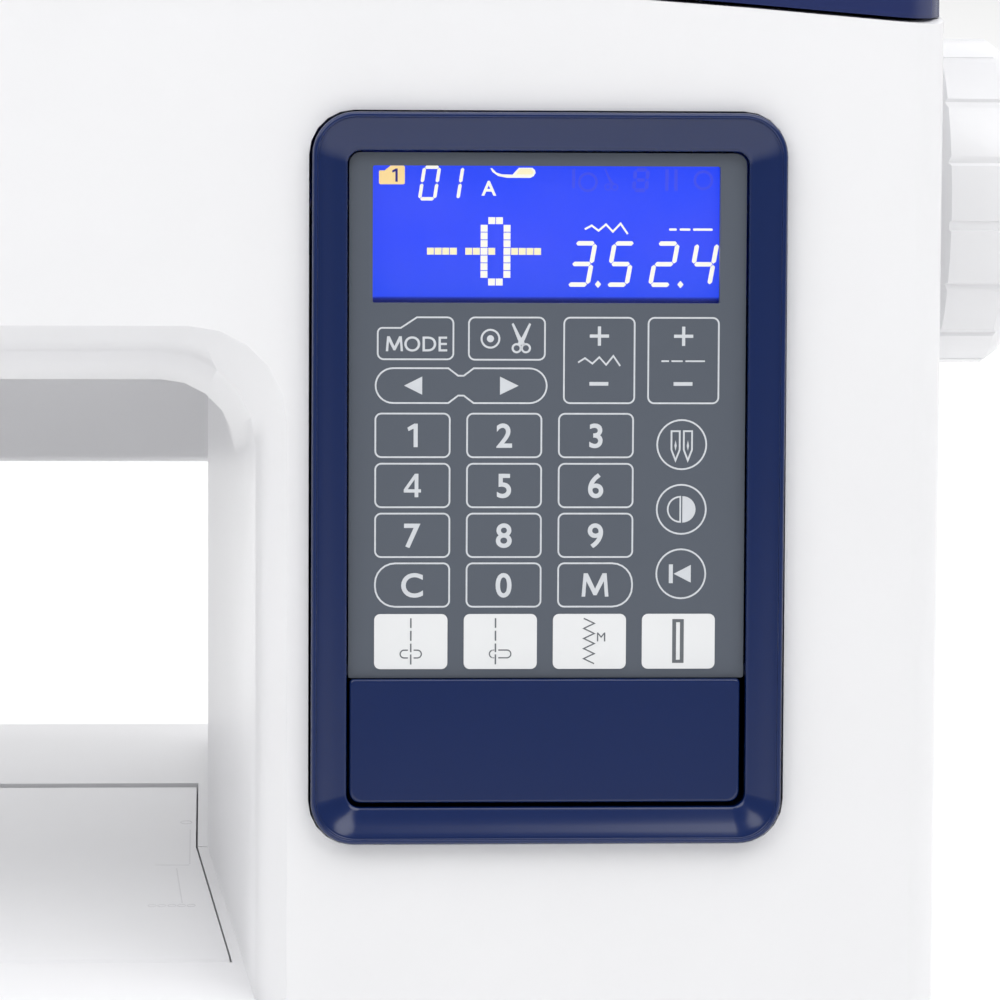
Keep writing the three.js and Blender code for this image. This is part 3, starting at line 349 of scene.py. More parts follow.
WHITE = moulded("white_plastic", (0.80, 0.80, 0.815), 0.34)
NAVY = moulded("navy_plastic", (0.012, 0.022, 0.10), 0.26, grain=0.5, height=0.002)
NAVY_GLOSS = moulded("navy_gloss", (0.003, 0.0145, 0.080), 0.17, grain=0.8, height=0.0008, sink=0.012)
GREY = moulded("grey_plastic", (0.24, 0.25, 0.27), 0.5, grain=0.6, height=0.02)
KEYPAD = moulded("keypad_grey", (0.082, 0.096, 0.122), 0.42, grain=0.22, height=0.004, sink=0.004)
BLACK = moulded("black_plastic", (0.018, 0.018, 0.02), 0.45, grain=0.6, height=0.015)
CLEAR = moulded("clear_plastic", (0.93, 0.96, 0.97), 0.12, transmission=0.92, ior=1.49)
WINDOW = Finish("window", (0.97, 0.98, 1.0), 0.02, transmission=1.0, ior=1.3)
WINDOW.gloss(0.01, 0.04, 20)
RUBBER = Finish("rubber", (0.02, 0.02, 0.022), 0.75).mottle(8, 0.15).grain(0.5, 0.03)
BELT = Finish("belt_rubber", (0.015, 0.015, 0.016), 0.65).mottle(5, 0.2).grain(0.3, 0.02)
STEEL = metal("steel", (0.56, 0.57, 0.59), 0.2, 0.36, (8, 1, 1))
CHROME = metal("chrome", (0.72, 0.72, 0.74), 0.05, 0.12, (1, 1, 0.3))
CAST = metal("cast_aluminium", (0.46, 0.47, 0.49), 0.4, 0.6, (1, 1, 1)).grain(1.2, 0.06)
BOARD = Finish("circuit_board", (0.012, 0.10, 0.045), 0.35).mottle(2.5, 0.35, (4, 1, 1)).grain(1, 0.03)
SCREEN = backlit_display()
FINISHES = {
    "white_plastic": WHITE, "navy_plastic": NAVY, "navy_gloss": NAVY_GLOSS, "grey_plastic": GREY,
    "keypad_grey": KEYPAD, "black_plastic": BLACK, "clear_plastic": CLEAR, "window": WINDOW,
    "lcd_blue": SCREEN, "circuit_board": BOARD, "rubber": RUBBER, "belt_rubber": BELT,
    "steel": STEEL, "chrome": CHROME, "cast_aluminium": CAST,
}
WHITE_INK = Finish("white_ink", (0.60, 0.625, 0.66), 0.5).mottle(1.5, 0.02).grain(0.2, 0.002)
KEY_WHITE = moulded("key_white", (0.765, 0.775, 0.785), 0.38, grain=0.22, height=0.003, sink=0.002)
GREY_INK = Finish("grey_ink", (0.12, 0.13, 0.145), 0.5).mottle(1.5, 0.04).grain(0.2, 0.002)
NAVY_INK = Finish("navy_ink", (0.012, 0.022, 0.10), 0.45).mottle(1.5, 0.05).grain(0.2, 0.002)
MARK = Finish("bed_marking", (0.70, 0.70, 0.715), 0.45).mottle(1.5, 0.03).grain(0.3, 0.003)
SEGMENT = Finish("lcd_segment", (0.1, 0.1, 0.1), 0.4).glow((1.0, 0.97, 0.86), 0.98).grain(0.3, 0.001)
SEGMENT_WARM = Finish("lcd_segment_warm", (0.1, 0.1, 0.1), 0.4).glow((1.0, 0.90, 0.55), 0.98)
SEGMENT_AMBER = Finish("lcd_segment_amber", (0.1, 0.1, 0.1), 0.4).glow((1.0, 0.72, 0.30), 0.98)
GHOST = Finish("lcd_ghost", (0.01, 0.02, 0.1), 0.4).glow((0.042, 0.066, 0.80), 1.0)
SEGMENT_DARK = Finish("lcd_segment_dark", (0.02, 0.02, 0.1), 0.4).glow((0.03, 0.02, 0.30), 0.6)


# ---------------------------------------------------------------- CAD nodes

SOFT_EDGES = {  # how far the edges are rounded, in millimetres
    "front_cover": 0.5, "rear_cover": 0.5, "face_cover": 0.5, "top_lid": 0.5, "extension_table": 0.25,
    "free_arm_cover": 0.12, "carrying_handle": 1.2, "handwheel": 0.6, "panel_flap": 0.45, "keypad": 0.3,
}
EDGE = 0.2  # on every other node
HARD_ANGLE = math.radians(38)
WELD = 0.002  # points closer together than this are one point


def smooth(piece, width):
    """Rounds the sharp edges of a piece by width, in millimetres, and shades the rest smooth."""
    mesh = piece.data
    normals = mesh.attributes.get("custom_normal")
    if normals:
        mesh.attributes.remove(normals)
    mesh.polygons.foreach_set("use_smooth", [True] * len(mesh.polygons))
    weld = piece.modifiers.new("weld", "WELD")
    weld.merge_threshold = WELD * MM
    bevel = piece.modifiers.new("soft edges", "BEVEL")
    bevel.width = width * MM
    bevel.segments = 3
    bevel.limit_method = "ANGLE"
    bevel.angle_limit = HARD_ANGLE
    bevel.harden_normals = True
    shade = piece.modifiers.new("even shading", "WEIGHTED_NORMAL")
    shade.keep_sharp = True
    shade.weight = 80


def dress_cad_nodes():
    for subpart in frame["record"]["subparts"]:
        piece = frame["nodes"][subpart["node"]]
        piece.material_slots[0].material = FINISHES[subpart["material_slot"]].material
        smooth(piece, SOFT_EDGES.get(subpart["node"], EDGE))


# ---------------------------------------------------------------- printed and moulded marks


class Mark:
    """Flat shapes with a little thickness, laid out in a panel's axes and made into one piece."""

    def __init__(self, front, back, radius=None):
        """radius wraps the marks round a drum of that radius whose axis runs along u."""
        self.front = front
        self.back = back
        self.radius = radius
        self.mesh = bmesh.new()

    def corner(self, u, depth, v):
        if self.radius:
            turn = v / self.radius
            out = self.radius - depth
            return self.mesh.verts.new((u, -out * math.cos(turn), out * math.sin(turn)))
        return self.mesh.verts.new((u, depth, v))

    def shape(self, loops):
        """Adds a plate: its outline, and the outlines of its holes."""
        flat = [[Vector((u, v, 0)) for u, v in loop] for loop in loops]
        points = [p for loop in flat for p in loop]
        near = [self.corner(p.x, self.front, p.y) for p in points]
        far = [self.corner(p.x, self.back, p.y) for p in points]
        for triangle in tessellate_polygon(flat):
            self.mesh.faces.new([near[i] for i in triangle])
            self.mesh.faces.new([far[i] for i in reversed(triangle)])
        start = 0
        for loop in flat:
            ring = range(start, start + len(loop))
            for i, j in zip(ring, [*ring[1:], start]):
                self.mesh.faces.new((near[i], near[j], far[j], far[i]))
            start += len(loop)
        return self

    def shapes(self, several):
        for loops in several:
            self.shape(loops)
        return self

    def text(self, words, cu, baseline, cap_height, weight=0.018):
        """Lettering centred on cu. weight thickens the strokes."""
        curve = bpy.data.curves.new("lettering", "FONT")
        curve.body = words
        curve.size = cap_height / CAP_SHARE
        curve.offset = weight * curve.size
        curve.resolution_u = 6
        holder = bpy.data.objects.new("lettering", curve)
        bpy.context.scene.collection.objects.link(holder)
        bpy.context.view_layer.update()
        evaluated = holder.evaluated_get(bpy.context.evaluated_depsgraph_get())
        drawn = bpy.data.meshes.new_from_object(evaluated)
        across = [v.co.x for v in drawn.vertices]
        shift = Vector((cu - (min(across) + max(across)) / 2, baseline, 0))
        letters = bmesh.new()
        letters.from_mesh(drawn)
        bmesh.ops.remove_doubles(letters, verts=letters.verts, dist=cap_height * SAME_POINT)
        front = [f for f in letters.faces if abs(f.normal.z) > 0.5]
        for face in front:
            corners = [v.co + shift for v in face.verts]
            self.mesh.faces.new([self.corner(p.x, self.front, p.y) for p in corners])
        self.letter_walls(letters, shift)
        letters.free()
        bpy.data.objects.remove(holder)
        bpy.data.curves.remove(curve)
        bpy.data.meshes.remove(drawn)
        return self

    def letter_walls(self, letters, shift):
        """The sides and the back of lettering, which close it."""
        for edge in letters.edges:
            if len(edge.link_faces) == 1:
                a, b = [v.co + shift for v in edge.verts]
                wall = [(a.x, self.front, a.y), (b.x, self.front, b.y)]
                wall += [(b.x, self.back, b.y), (a.x, self.back, a.y)]
                self.mesh.faces.new([self.corner(*p) for p in wall])
        for face in letters.faces:
            corners = [v.co + shift for v in face.verts]
            self.mesh.faces.new([self.corner(p.x, self.back, p.y) for p in reversed(corners)])

    def finish(self, name, place, body, finish, slot):
        """Makes the piece: place turns the panel's axes into metres, and the piece rides on body."""
        bmesh.ops.remove_doubles(self.mesh, verts=self.mesh.verts, dist=SAME_POINT)
        bmesh.ops.recalc_face_normals(self.mesh, faces=self.mesh.faces)
        mesh = bpy.data.meshes.new(name)
        self.mesh.to_mesh(mesh)
        self.mesh.free()
        mesh.transform(place)
        mesh.materials.append(finish.material)
        piece = bpy.data.objects.new(name, mesh)
        bpy.context.scene.collection.objects.link(piece)
        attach(piece, body)
        return piece


CAP_SHARE = 0.70  # the height of a capital of the built-in font, as a share of its size
SAME_POINT = 1e-4
INK = (1.57, 1.62)  # the keypad's print: its depths in the panel's axes
PRINT = 0.29  # the width of the lines printed on the keypad
WHITE_KEY = (1.48, 1.62)  # depths of the white keys
WHITE_KEY_INK = (1.455, 1.5)  # depths of their symbols
SYMBOL_LINE = 0.22

GLYPH_M = [[
    (0, 0), (0.085, 1), (0.26, 1), (0.575, 0.34), (0.89, 1), (1.065, 1), (1.15, 0),
    (0.995, 0), (0.945, 0.66), (0.64, 0.06), (0.51, 0.06), (0.205, 0.66), (0.155, 0),
]]
GLYPH_4 = [
    [
        (0.46, 0), (0.62, 0), (0.62, 0.2), (0.73, 0.2), (0.73, 0.34), (0.62, 0.34),
        (0.62, 1), (0.47, 1), (0, 0.33), (0, 0.2), (0.46, 0.2),
    ],
    [(0.46, 0.34), (0.46, 0.76), (0.165, 0.34)],
]
GLYPH_1 = [[
    (0.265, 0), (0.44, 0), (0.44, 1), (0.29, 1), (0, 0.83), (0.05, 0.68), (0.265, 0.79),
]]
DRAWN_GLYPHS = {"M": GLYPH_M, "4": GLYPH_4, "1": GLYPH_1}


def drawn_glyph(letter, cu, baseline, cap_height):
    """A letter that the built-in font thickens badly, from its own outline."""
    loops = DRAWN_GLYPHS[letter]
    width = max(u for u, v in loops[0]) * cap_height
    return shifted(loops, cu - width / 2, baseline, cap_height)


# ---------------------------------------------------------------- keypad

KEY_W, KEY_H, KEY_R = 12.95, 7.6, 1.05
COLUMNS = [-23.5, -7.52, 8.5]
ROWS = [7.55, -1.19, -9.9, -18.6]
KEY_LABELS = ["123", "456", "789", "C0M"]
WIDE_R = 3.5  # the rounder corners of the C and M keys
ROUND_KEYS = {"twin_needle": 5.98, "contrast": -5.35, "start_over": -16.65}
ROUND_U, ROUND_R = 23.52, 4.3
WHITE_KEYS = [-23.7, -8.05, 7.55, 23.15]
WHITE_V, WHITE_W, WHITE_H = -28.5, 12.8, 9.65
ADJUST_KEYS = [9.0, 23.72]  # stitch width and stitch length
ADJUST_HALF, ADJUST_BOTTOM = 6.15, 13.2
TOP_EDGE = 28.1  # of the highest row of keys
MODE_KEY = (-29.6, 20.8, -16.45, TOP_EDGE)  # left, bottom, right, top
CUTTER_KEY = (-13.75, 20.75, -0.5, TOP_EDGE)
LOCK_ICON = (-10.0, 24.4)
CUTTER_ICON = (-4.62, 24.45)
ARROWS = {"left": -29.95, "right": -0.15, "waist": -15.1, "v": 16.22, "half": 3.03}
LABEL_HEIGHT = 4.1
MODE_HEIGHT = 2.6
SCISSORS_HEIGHT = 5.4  # from the tip of the blade below to the bottom of the rings
SCISSOR_BLADE = [
    (1.4, 2.75), (1.72, 2.55), (0.62, -0.25), (0.05, -1.15), (-0.72, -1.25), (-0.5, -0.5), (0.1, 0.25),
]


def key_outline(cu, cv, radius=KEY_R):
    box = (cu - KEY_W / 2, cv - KEY_H / 2, cu + KEY_W / 2, cv + KEY_H / 2)
    return stroke(round_rect(*box, radius), PRINT, closed=True)


def arrow_key_outline():
    """Two keys in one long outline with a pinched waist."""
    a = ARROWS
    top, bottom, r = a["v"] + a["half"], a["v"] - a["half"], a["half"]
    waist = [(2.2, 0), (0.5, 1.3), (-0.5, 1.3), (-2.2, 0)]
    points = arc(a["right"] - r, a["v"], r, -90, 90, 16)
    points += [(a["waist"] + du, top - dv) for du, dv in waist]
    points += arc(a["left"] + r, a["v"], r, 90, 270, 16)
    points += [(a["waist"] - du, bottom + dv) for du, dv in waist]
    return stroke(points, PRINT, closed=True)


def mode_key_outline():
    """A key shaped like a folder with a tab."""
    left, bottom, right, top = MODE_KEY
    r, small_r, step = KEY_R, 0.8, 1.85
    points = arc(right - r, top - r, r, 0, 90, 6)
    points += [(-22.8, top), (-25.6, top - step)]
    points += arc(left + small_r, top - step - small_r, small_r, 90, 180, 5)
    points += arc(left + r, bottom + r, r, 180, 270, 6)
    points += arc(right - r, bottom + r, r, 270, 360, 6)
    return stroke(points, PRINT, closed=True)


def keypad_outlines():
    marks = [mode_key_outline(), arrow_key_outline()]
    marks.append(stroke(round_rect(*CUTTER_KEY, KEY_R), PRINT, closed=True))
    for cu in ADJUST_KEYS:
        box = (cu - ADJUST_HALF, ADJUST_BOTTOM, cu + ADJUST_HALF, TOP_EDGE)
        marks.append(stroke(round_rect(*box, KEY_R), PRINT, closed=True))
    for row, cv in enumerate(ROWS):
        for column, cu in enumerate(COLUMNS):
            corner = KEY_R
            if KEY_LABELS[row][column] == "C":
                corner = [KEY_R, WIDE_R, WIDE_R, KEY_R]
            if KEY_LABELS[row][column] == "M":
                corner = [WIDE_R, KEY_R, KEY_R, WIDE_R]
            marks.append(key_outline(cu, cv, corner))
    for cv in ROUND_KEYS.values():
        marks.append(stroke(circle(ROUND_U, cv, ROUND_R), PRINT, closed=True))
    return marks


def plus(cu, cv, half, width):
    h, w = half, width / 2
    return [[
        (cu + w, cv + h), (cu - w, cv + h), (cu - w, cv + w), (cu - h, cv + w), (cu - h, cv - w),
        (cu - w, cv - w), (cu - w, cv - h), (cu + w, cv - h), (cu + w, cv - w), (cu + h, cv - w),
        (cu + h, cv + w), (cu + w, cv + w),
    ]]


def bar(cu, cv, half_u, half_v):
    return [rectangle(cu - half_u, cv - half_v, cu + half_u, cv + half_v)]


def scissors(cu, cv, size):
    """Open scissors with their points up: their blades, and the rings of their handles."""
    s = size / SCISSORS_HEIGHT
    blades = []
    rings = []
    for side in (-1, 1):
        blades.append([(cu + side * s * u, cv + s * v) for u, v in SCISSOR_BLADE])
        ring = circle(cu + side * 0.82 * s, cv - 1.72 * s, 0.72 * s, 20)
        rings.append(stroke(ring, 0.36 * s, closed=True))
    return blades, rings


def needle_outline(cu, cv):
    """The lower end of a needle, drawn with its eye."""
    half, top, shoulder, tip = 0.72, 2.35, -0.9, -2.75
    points = [(half, top), (-half, top), (-half, shoulder), (0, tip), (half, shoulder)]
    return [(cu + u, cv + v) for u, v in points]


def needle_eye(cu, cv):
    return [(cu + 0.2, cv - 0.2), (cu, cv + 0.75), (cu - 0.2, cv - 0.2), (cu, cv - 1.1)]


def round_key_icons():
    marks = []
    needles = ROUND_KEYS["twin_needle"]
    for cu in (ROUND_U - 1.08, ROUND_U + 1.08):
        marks.append(stroke(needle_outline(cu, needles), 0.3, closed=True))
        marks.append([needle_eye(cu, needles)])
    moon = ROUND_KEYS["contrast"]
    marks.append([arc(ROUND_U + 0.18, moon, 2.32, -90, 90, 16)])
    half = arc(ROUND_U - 0.18, moon, 2.2, 90, 270, 16)
    marks.append(stroke(half, 0.28, closed=True))
    back = ROUND_KEYS["start_over"]
    marks.append(bar(ROUND_U - 1.75, back, 0.35, 1.65))
    right = ROUND_U + 1.75
    marks.append([[(right, back + 1.55), (ROUND_U - 1.25, back), (right, back - 1.55)]])
    return marks


def adjust_key_icons():
    """Plus and minus on both keys, a zigzag for width, and growing dashes for length."""
    marks = []
    width_key, length_key = ADJUST_KEYS
    for cu in ADJUST_KEYS:
        marks.append(plus(cu, 24.9, 1.68, 0.56))
        marks.append(bar(cu - 0.05, 16.58, 1.65, 0.32))
    rise = [(-3.7, -0.3), (-2.5, 0.45), (-1.2, -0.5), (0, 0.62), (1.2, -0.7), (2.45, 0.85), (3.65, -0.9)]
    marks.append(stroke([(width_key + u, 20.6 + v) for u, v in rise], PRINT))
    for start, end in ((-3.85, -2.55), (-2.1, -0.15), (0.35, 3.75)):
        marks.append(bar(length_key + (start + end) / 2, 20.55, (end - start) / 2, 0.14))
    return marks


def keypad_icons():
    v, half = ARROWS["v"], 1.58
    marks = [
        [[(-25.0, v), (-21.85, v - half), (-21.85, v + half)]],
        [[(-5.05, v), (-8.3, v + half), (-8.3, v - half)]],
        stroke(circle(*LOCK_ICON, 1.55, 32), 0.34, closed=True),
        [circle(*LOCK_ICON, 0.62, 20)],
    ]
    return marks + adjust_key_icons() + round_key_icons()


def keypad_symbols():
    """What is printed on the keypad, except its letters and digits."""
    outlines = Mark(*INK).shapes(keypad_outlines())
    outlines.finish("keypad_outlines", PANEL, "body", WHITE_INK, "white_plastic")
    icons = Mark(*INK).shapes(keypad_icons())
    blades, rings = scissors(*CUTTER_ICON, 5.3)
    icons.shapes(rings)
    icons.shape([blades[0]])
    icons.finish("keypad_icons", PANEL, "body", WHITE_INK, "white_plastic")
    crossing_blade = Mark(INK[0] - 0.01, INK[1]).shape([blades[1]])
    crossing_blade.finish("keypad_scissor_blade", PANEL, "body", WHITE_INK, "white_plastic")


def keypad_labels():
    labels = Mark(*INK)
    for row, cv in enumerate(ROWS):
        for column, cu in enumerate(COLUMNS):
            letter = KEY_LABELS[row][column]
            baseline = cv - LABEL_HEIGHT / 2
            if letter in DRAWN_GLYPHS:
                labels.shape(drawn_glyph(letter, cu, baseline, LABEL_HEIGHT))
            else:
                labels.text(letter, cu, baseline, LABEL_HEIGHT)
    labels.shape(drawn_glyph("M", -26.7, 22.2, MODE_HEIGHT))
    labels.text("ODE", -21.25, 22.2, MODE_HEIGHT, weight=0.006)
    labels.finish("keypad_labels", PANEL, "body", WHITE_INK, "white_plastic")


def white_keys():
    """The four stitch keys."""
    half_w, half_h = WHITE_W / 2, WHITE_H / 2
    for i, cu in enumerate(WHITE_KEYS):
        box = (cu - half_w, WHITE_V - half_h, cu + half_w, WHITE_V + half_h)
        key = Mark(*WHITE_KEY).shape([round_rect(*box, KEY_R)])
        key.finish(f"stitch_key_{i + 1}", PANEL, "body", KEY_WHITE, "white_plastic")


def dashes_in_brackets(cu, left, right):
    """A dashed line down a key, with a bracket that reaches out to each side of it."""
    marks = []
    for top, bottom in ((-24.4, -26.1), (-26.6, -28.35), (-28.85, -30.35), (-30.75, -32.5)):
        marks.append(bar(cu, (top + bottom) / 2, 0.13, (top - bottom) / 2))
    bracket_v, r = -30.68, 0.68
    for side, end in ((-1, left), (1, right)):
        turn = arc(cu + end - side * r, bracket_v, r, 90, 90 + side * -180, 12)
        inner = cu + side * 0.5
        bracket = [(inner, bracket_v + r), *turn, (inner, bracket_v - r)]
        marks.append(stroke(bracket, SYMBOL_LINE))
    return marks


def white_key_symbols():
    """Two dashed lines, a zigzag with an M, and a narrow frame."""
    ink = Mark(*WHITE_KEY_INK)
    ink.shapes(dashes_in_brackets(WHITE_KEYS[0], -1.85, 1.85))
    ink.shapes(dashes_in_brackets(WHITE_KEYS[1] - 0.85, -1.05, 2.7))
    steps = [(6.55 + 1.85 * (i % 2), -24.45 - 0.885 * i) for i in range(10)]
    ink.shape(stroke(steps, SYMBOL_LINE))
    ink.text("M", 9.6, -28.5, 1.6, weight=0)
    frame_outline = round_rect(22.08, -32.3, 24.1, -24.6, 0.05, 1)
    ink.shape([frame_outline, rectangle(22.75, -31.75, 23.43, -25.15)])
    ink.finish("stitch_key_symbols", PANEL, "body", GREY_INK, "grey_plastic")


# ---------------------------------------------------------------- display

GLASS = (5.22, 5.32)  # depths of what the display shows
# A digit's segments run clockwise from a at the top to f at the upper left, and g is the middle one.
SEGMENTS = {"0": "abcdef", "1": "bc", "2": "abged", "3": "abgcd", "4": "fgbc", "5": "afgcd"}
SMALL_DIGIT = {"bottom": 48.6, "width": 2.6, "height": 5.5, "slant": 0.85, "thickness": 0.6}
LARGE_DIGIT = {"bottom": 33.75, "width": 3.45, "height": 7.2, "slant": 1.3, "thickness": 0.78}
GHOST_DIGIT = {"bottom": 50.2, "width": 2.2, "height": 3.6, "slant": 0.3, "thickness": 0.7}
DOT_PITCH, DOT_SIZE, DOT_U, DOT_V = 1.336, 1.2, -20.35, 39.5
FOLDER = [
    (-24.85, 54.15), (-25.05, 54.35), (-27.3, 54.35), (-28.4, 53.5), (-29.2, 53.5),
    (-29.35, 53.35), (-29.35, 51.3), (-29.15, 51.1), (-25.05, 51.1), (-24.85, 51.3),
]


def segment_ends(width, height):
    """Where each segment starts and ends. The origin is the middle of the lowest one."""
    w, h = width / 2, height / 2
    return {
        "a": ((-w, 2 * h), (w, 2 * h)),
        "b": ((w, 2 * h), (w, h)),
        "c": ((w, h), (w, 0)),
        "d": ((-w, 0), (w, 0)),
        "e": ((-w, h), (-w, 0)),
        "f": ((-w, 2 * h), (-w, h)),
        "g": ((-w, h), (w, h)),
    }


def segment(start, end, thickness, gap):
    """One bar of a digit, with pointed ends."""
    a, b = Vector(start), Vector(end)
    along = (b - a).normalized()
    side = Vector((-along.y, along.x)) * thickness / 2
    a, b = a + along * gap, b - along * gap
    point = along * thickness * 0.42
    upper = [a, a + point + side, b - point + side]
    lower = [b, b - point - side, a + point - side]
    return [tuple(p) for p in upper + lower]


def seven_segments(digit, cu, bottom, width, height, slant, thickness):
    shapes = []
    ends = segment_ends(width, height)
    for name in SEGMENTS[digit]:
        loop = segment(*ends[name], thickness, thickness * 0.14)
        shapes.append([[(cu + u + slant * v / height, bottom + v) for u, v in loop]])
    return shapes


def stitch_dots(warm):
    """The dot picture of the chosen stitch: its middle row is warm, the loop around it white."""
    middle_row = [(i, 0) for i in (0, 1, 2, 3, 5, 6, 8, 11, 12, 13, 14)]
    loop = [(i, j) for i in (7, 10) for j in range(-3, 4)]
    loop += [(i, j) for i in (8, 9) for j in (-4, 4)]
    cells = middle_row if warm else loop
    half = DOT_SIZE / 2
    return [bar(DOT_U + DOT_PITCH * i, DOT_V + DOT_PITCH * j, half, half) for i, j in cells]


def presser_foot_symbol():
    """A foot seen from the side, and the filling of its body."""
    outline = [
        (-9.95, 53.95), (-9.65, 53.95), (-8.9, 53.2), (-7.9, 52.9), (-6.1, 52.85),
        (-5.45, 53.55), (-4.95, 54.05), (-2.6, 54.05), (-2.2, 53.7), (-2.05, 53.2),
        (-2.4, 52.6), (-3.0, 52.3), (-7.0, 52.3), (-8.6, 52.6), (-9.6, 53.3),
    ]
    filling = [(-5.45, 52.9), (-5.1, 53.5), (-4.75, 53.85), (-2.8, 53.85), (-2.45, 53.35), (-2.6, 52.9)]
    return [outline], [filling]


def lit_digits():
    shapes = []
    for digit, cu in (("0", -20.97), ("1", -16.9)):
        shapes += seven_segments(digit, cu, **SMALL_DIGIT)
    for digit, cu in (("3", 5.4), ("5", 12.25), ("2", 19.85), ("4", 26.75)):
        shapes += seven_segments(digit, cu, **LARGE_DIGIT)
    for cu in (8.95, 23.4):  # decimal points
        shapes.append([[(cu, 34.45), (cu - 0.55, 33.8), (cu, 33.15), (cu + 0.55, 33.8)]])
    return shapes


def lit_stitch_lines():
    """The zigzag and the dashes over the width and the length."""
    steps = [
        (6.6, 43.4), (7.8, 44.05), (9.0, 43.15), (10.3, 44.25), (11.5, 43.0), (12.85, 44.4), (14.1, 42.6),
    ]
    shapes = [stroke(steps, 0.34)]
    for start, end in ((21.35, 22.7), (23.2, 25.1), (25.55, 29.0)):
        shapes.append([round_rect(start, 43.2, end, 43.6, 0.18, 3)])
    return shapes


def display_content():
    """What the display shows."""
    white = Mark(*GLASS).shapes(lit_digits() + lit_stitch_lines() + stitch_dots(warm=False))
    white.text("A", -10.2, 49.25, 2.5, weight=0.02)
    foot, filling = presser_foot_symbol()
    white.shape(foot)
    white.finish("lcd_segments", PANEL, "body", SEGMENT, "lcd_blue")
    warm = Mark(*GLASS).shapes(stitch_dots(warm=True))
    warm.finish("lcd_warm_segments", PANEL, "body", SEGMENT_WARM, "lcd_blue")
    body = Mark(GLASS[0] - 0.02, GLASS[1]).shape(filling)
    body.finish("lcd_foot_filling", PANEL, "body", SEGMENT_WARM, "lcd_blue")
    folder = Mark(*GLASS).shape([FOLDER])
    folder.finish("lcd_folder", PANEL, "body", SEGMENT_AMBER, "lcd_blue")
    number = Mark(GLASS[0] - 0.03, GLASS[1]).shape(drawn_glyph("1", -26.6, 51.55, 2.3))
    number.finish("lcd_folder_number", PANEL, "body", SEGMENT_DARK, "lcd_blue")


def display_ghosts():
    """Segments that are off, which still show as slightly darker shapes."""
    ghosts = Mark(GLASS[0] + 0.04, GLASS[1])
    blades, rings = scissors(11.2, 52.0, 3.9)
    for loop in (*rings, [blades[0]]):
        ghosts.shape(loop)
    for cu in (20.9, 22.5):
        ghosts.shape(bar(cu, 52.0, 0.3, 1.9))
    ghosts.shapes(seven_segments("0", 16.2, **GHOST_DIGIT))
    ghosts.shape(bar(16.35, 52.0, 0.7, 0.3))
    ghosts.shape(stroke(circle(7.1, 51.6, 1.5, 24), 0.5, closed=True))
    ghosts.shape(bar(4.6, 52.2, 0.3, 1.7))
    ghosts.shape(stroke(circle(27.3, 52.0, 1.5, 24), 0.5, closed=True))
    ghosts.finish("lcd_ghost_segments", PANEL, "body", GHOST, "lcd_blue")


# ---------------------------------------------------------------- marks away from the panel


DIAL_DIVISIONS = 12  # the ten numbers and a gap take up the whole turn
DIAL_DIGIT = 2.6
PLATE_DIGIT = 1.7


def ride_of(node):
    return body_of(frame["nodes"][node])[0]


def dial_marks():
    """Tension numbers round the dial, with a tick beside each."""
    low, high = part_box("tension_dial")
    radius = (high.z - low.z) / 2 / MM
    place = Matrix.Translation((low + high) / 2) @ Matrix.Scale(MM, 4)
    marks = Mark(-0.04, 0.12, radius=radius - 0.02)
    spacing = 2 * math.pi * radius / DIAL_DIVISIONS
    for number in range(10):
        v = (number - 4.5) * spacing
        where = (-0.6, v - DIAL_DIGIT / 2, DIAL_DIGIT)
        if str(number) in DRAWN_GLYPHS:
            marks.shape(drawn_glyph(str(number), *where))
        else:
            marks.text(str(number), *where, weight=0.01)
        marks.shape(bar(2.6, v, 0.8, 0.18))
    marks.finish("tension_numbers", place, ride_of("tension_dial"), WHITE_INK, "white_plastic")


def lock_symbol(u, v):
    return [stroke(circle(u, v, 1.7, 28), 0.4, True), [circle(u, v, 0.7, 16)]]


def start_stop_symbol(u, v):
    arrow = [(u - 0.5, v + 1.3), (u - 2.3, v), (u - 0.5, v - 1.3)]
    return [[arrow], bar(u + 1.2, v, 0.95, 0.95)]


def reverse_symbol(u, v):
    turn = arc(u + 0.5, v - 0.1, 1.4, -90, 90, 10)
    hook = stroke([(u - 1.4, v - 1.5), (u + 0.5, v - 1.5), *turn], 0.42)
    return [hook, [[(u + 0.5, v + 2.3), (u - 1.6, v + 1.3), (u + 0.5, v + 0.3)]]]


def needle_symbol(u, v):
    up = [(u + 1.5, v + 1.9), (u + 0.4, v + 0.5), (u + 2.6, v + 0.5)]
    down = [(u + 1.5, v - 1.9), (u + 2.6, v - 0.5), (u + 0.4, v - 0.5)]
    return [stroke([(u - 1.5, v + 2), (u - 1.5, v - 1.2), (u - 1.2, v - 2.2)], 0.45), [up], [down]]


HEAD_SYMBOLS = {
    "start_stop_button": start_stop_symbol, "reverse_button": reverse_symbol,
    "auto_lock_button": lock_symbol, "needle_up_down_button": needle_symbol,
}


def printed_on(node):
    """The depths of what is printed on a node's front, in the button panel's axes."""
    into_panel = HEAD_PANEL.inverted()
    corners = [into_panel @ Vector(v.co) for v in frame["nodes"][node].data.vertices]
    front = min(c.y for c in corners)
    return front - 0.03, front + 0.1


def head_panel_marks():
    """A symbol on each button, and a wedge that grows with the speed."""
    for node, symbol in HEAD_SYMBOLS.items():
        centre = HEAD_PANEL.inverted() @ middle(node)
        ink = Mark(*printed_on(node)).shapes(symbol(centre.x, centre.z))
        ink.finish(node + "_symbol", HEAD_PANEL, ride_of(node), NAVY_INK, "navy_plastic")
    wedge = Mark(*printed_on("button_panel"))
    wedge.shape([[(21, 17.1), (21, 15.3), (-21, 16.05), (-21, 16.35)]])
    for u in (-24.5, -23.3, 23.3, 24.7, 26.1):
        wedge.shape(bar(u, 16.2, 0.25, 0.9))
    wedge.finish("speed_scale", HEAD_PANEL, ride_of("button_panel"), WHITE_INK, "white_plastic")


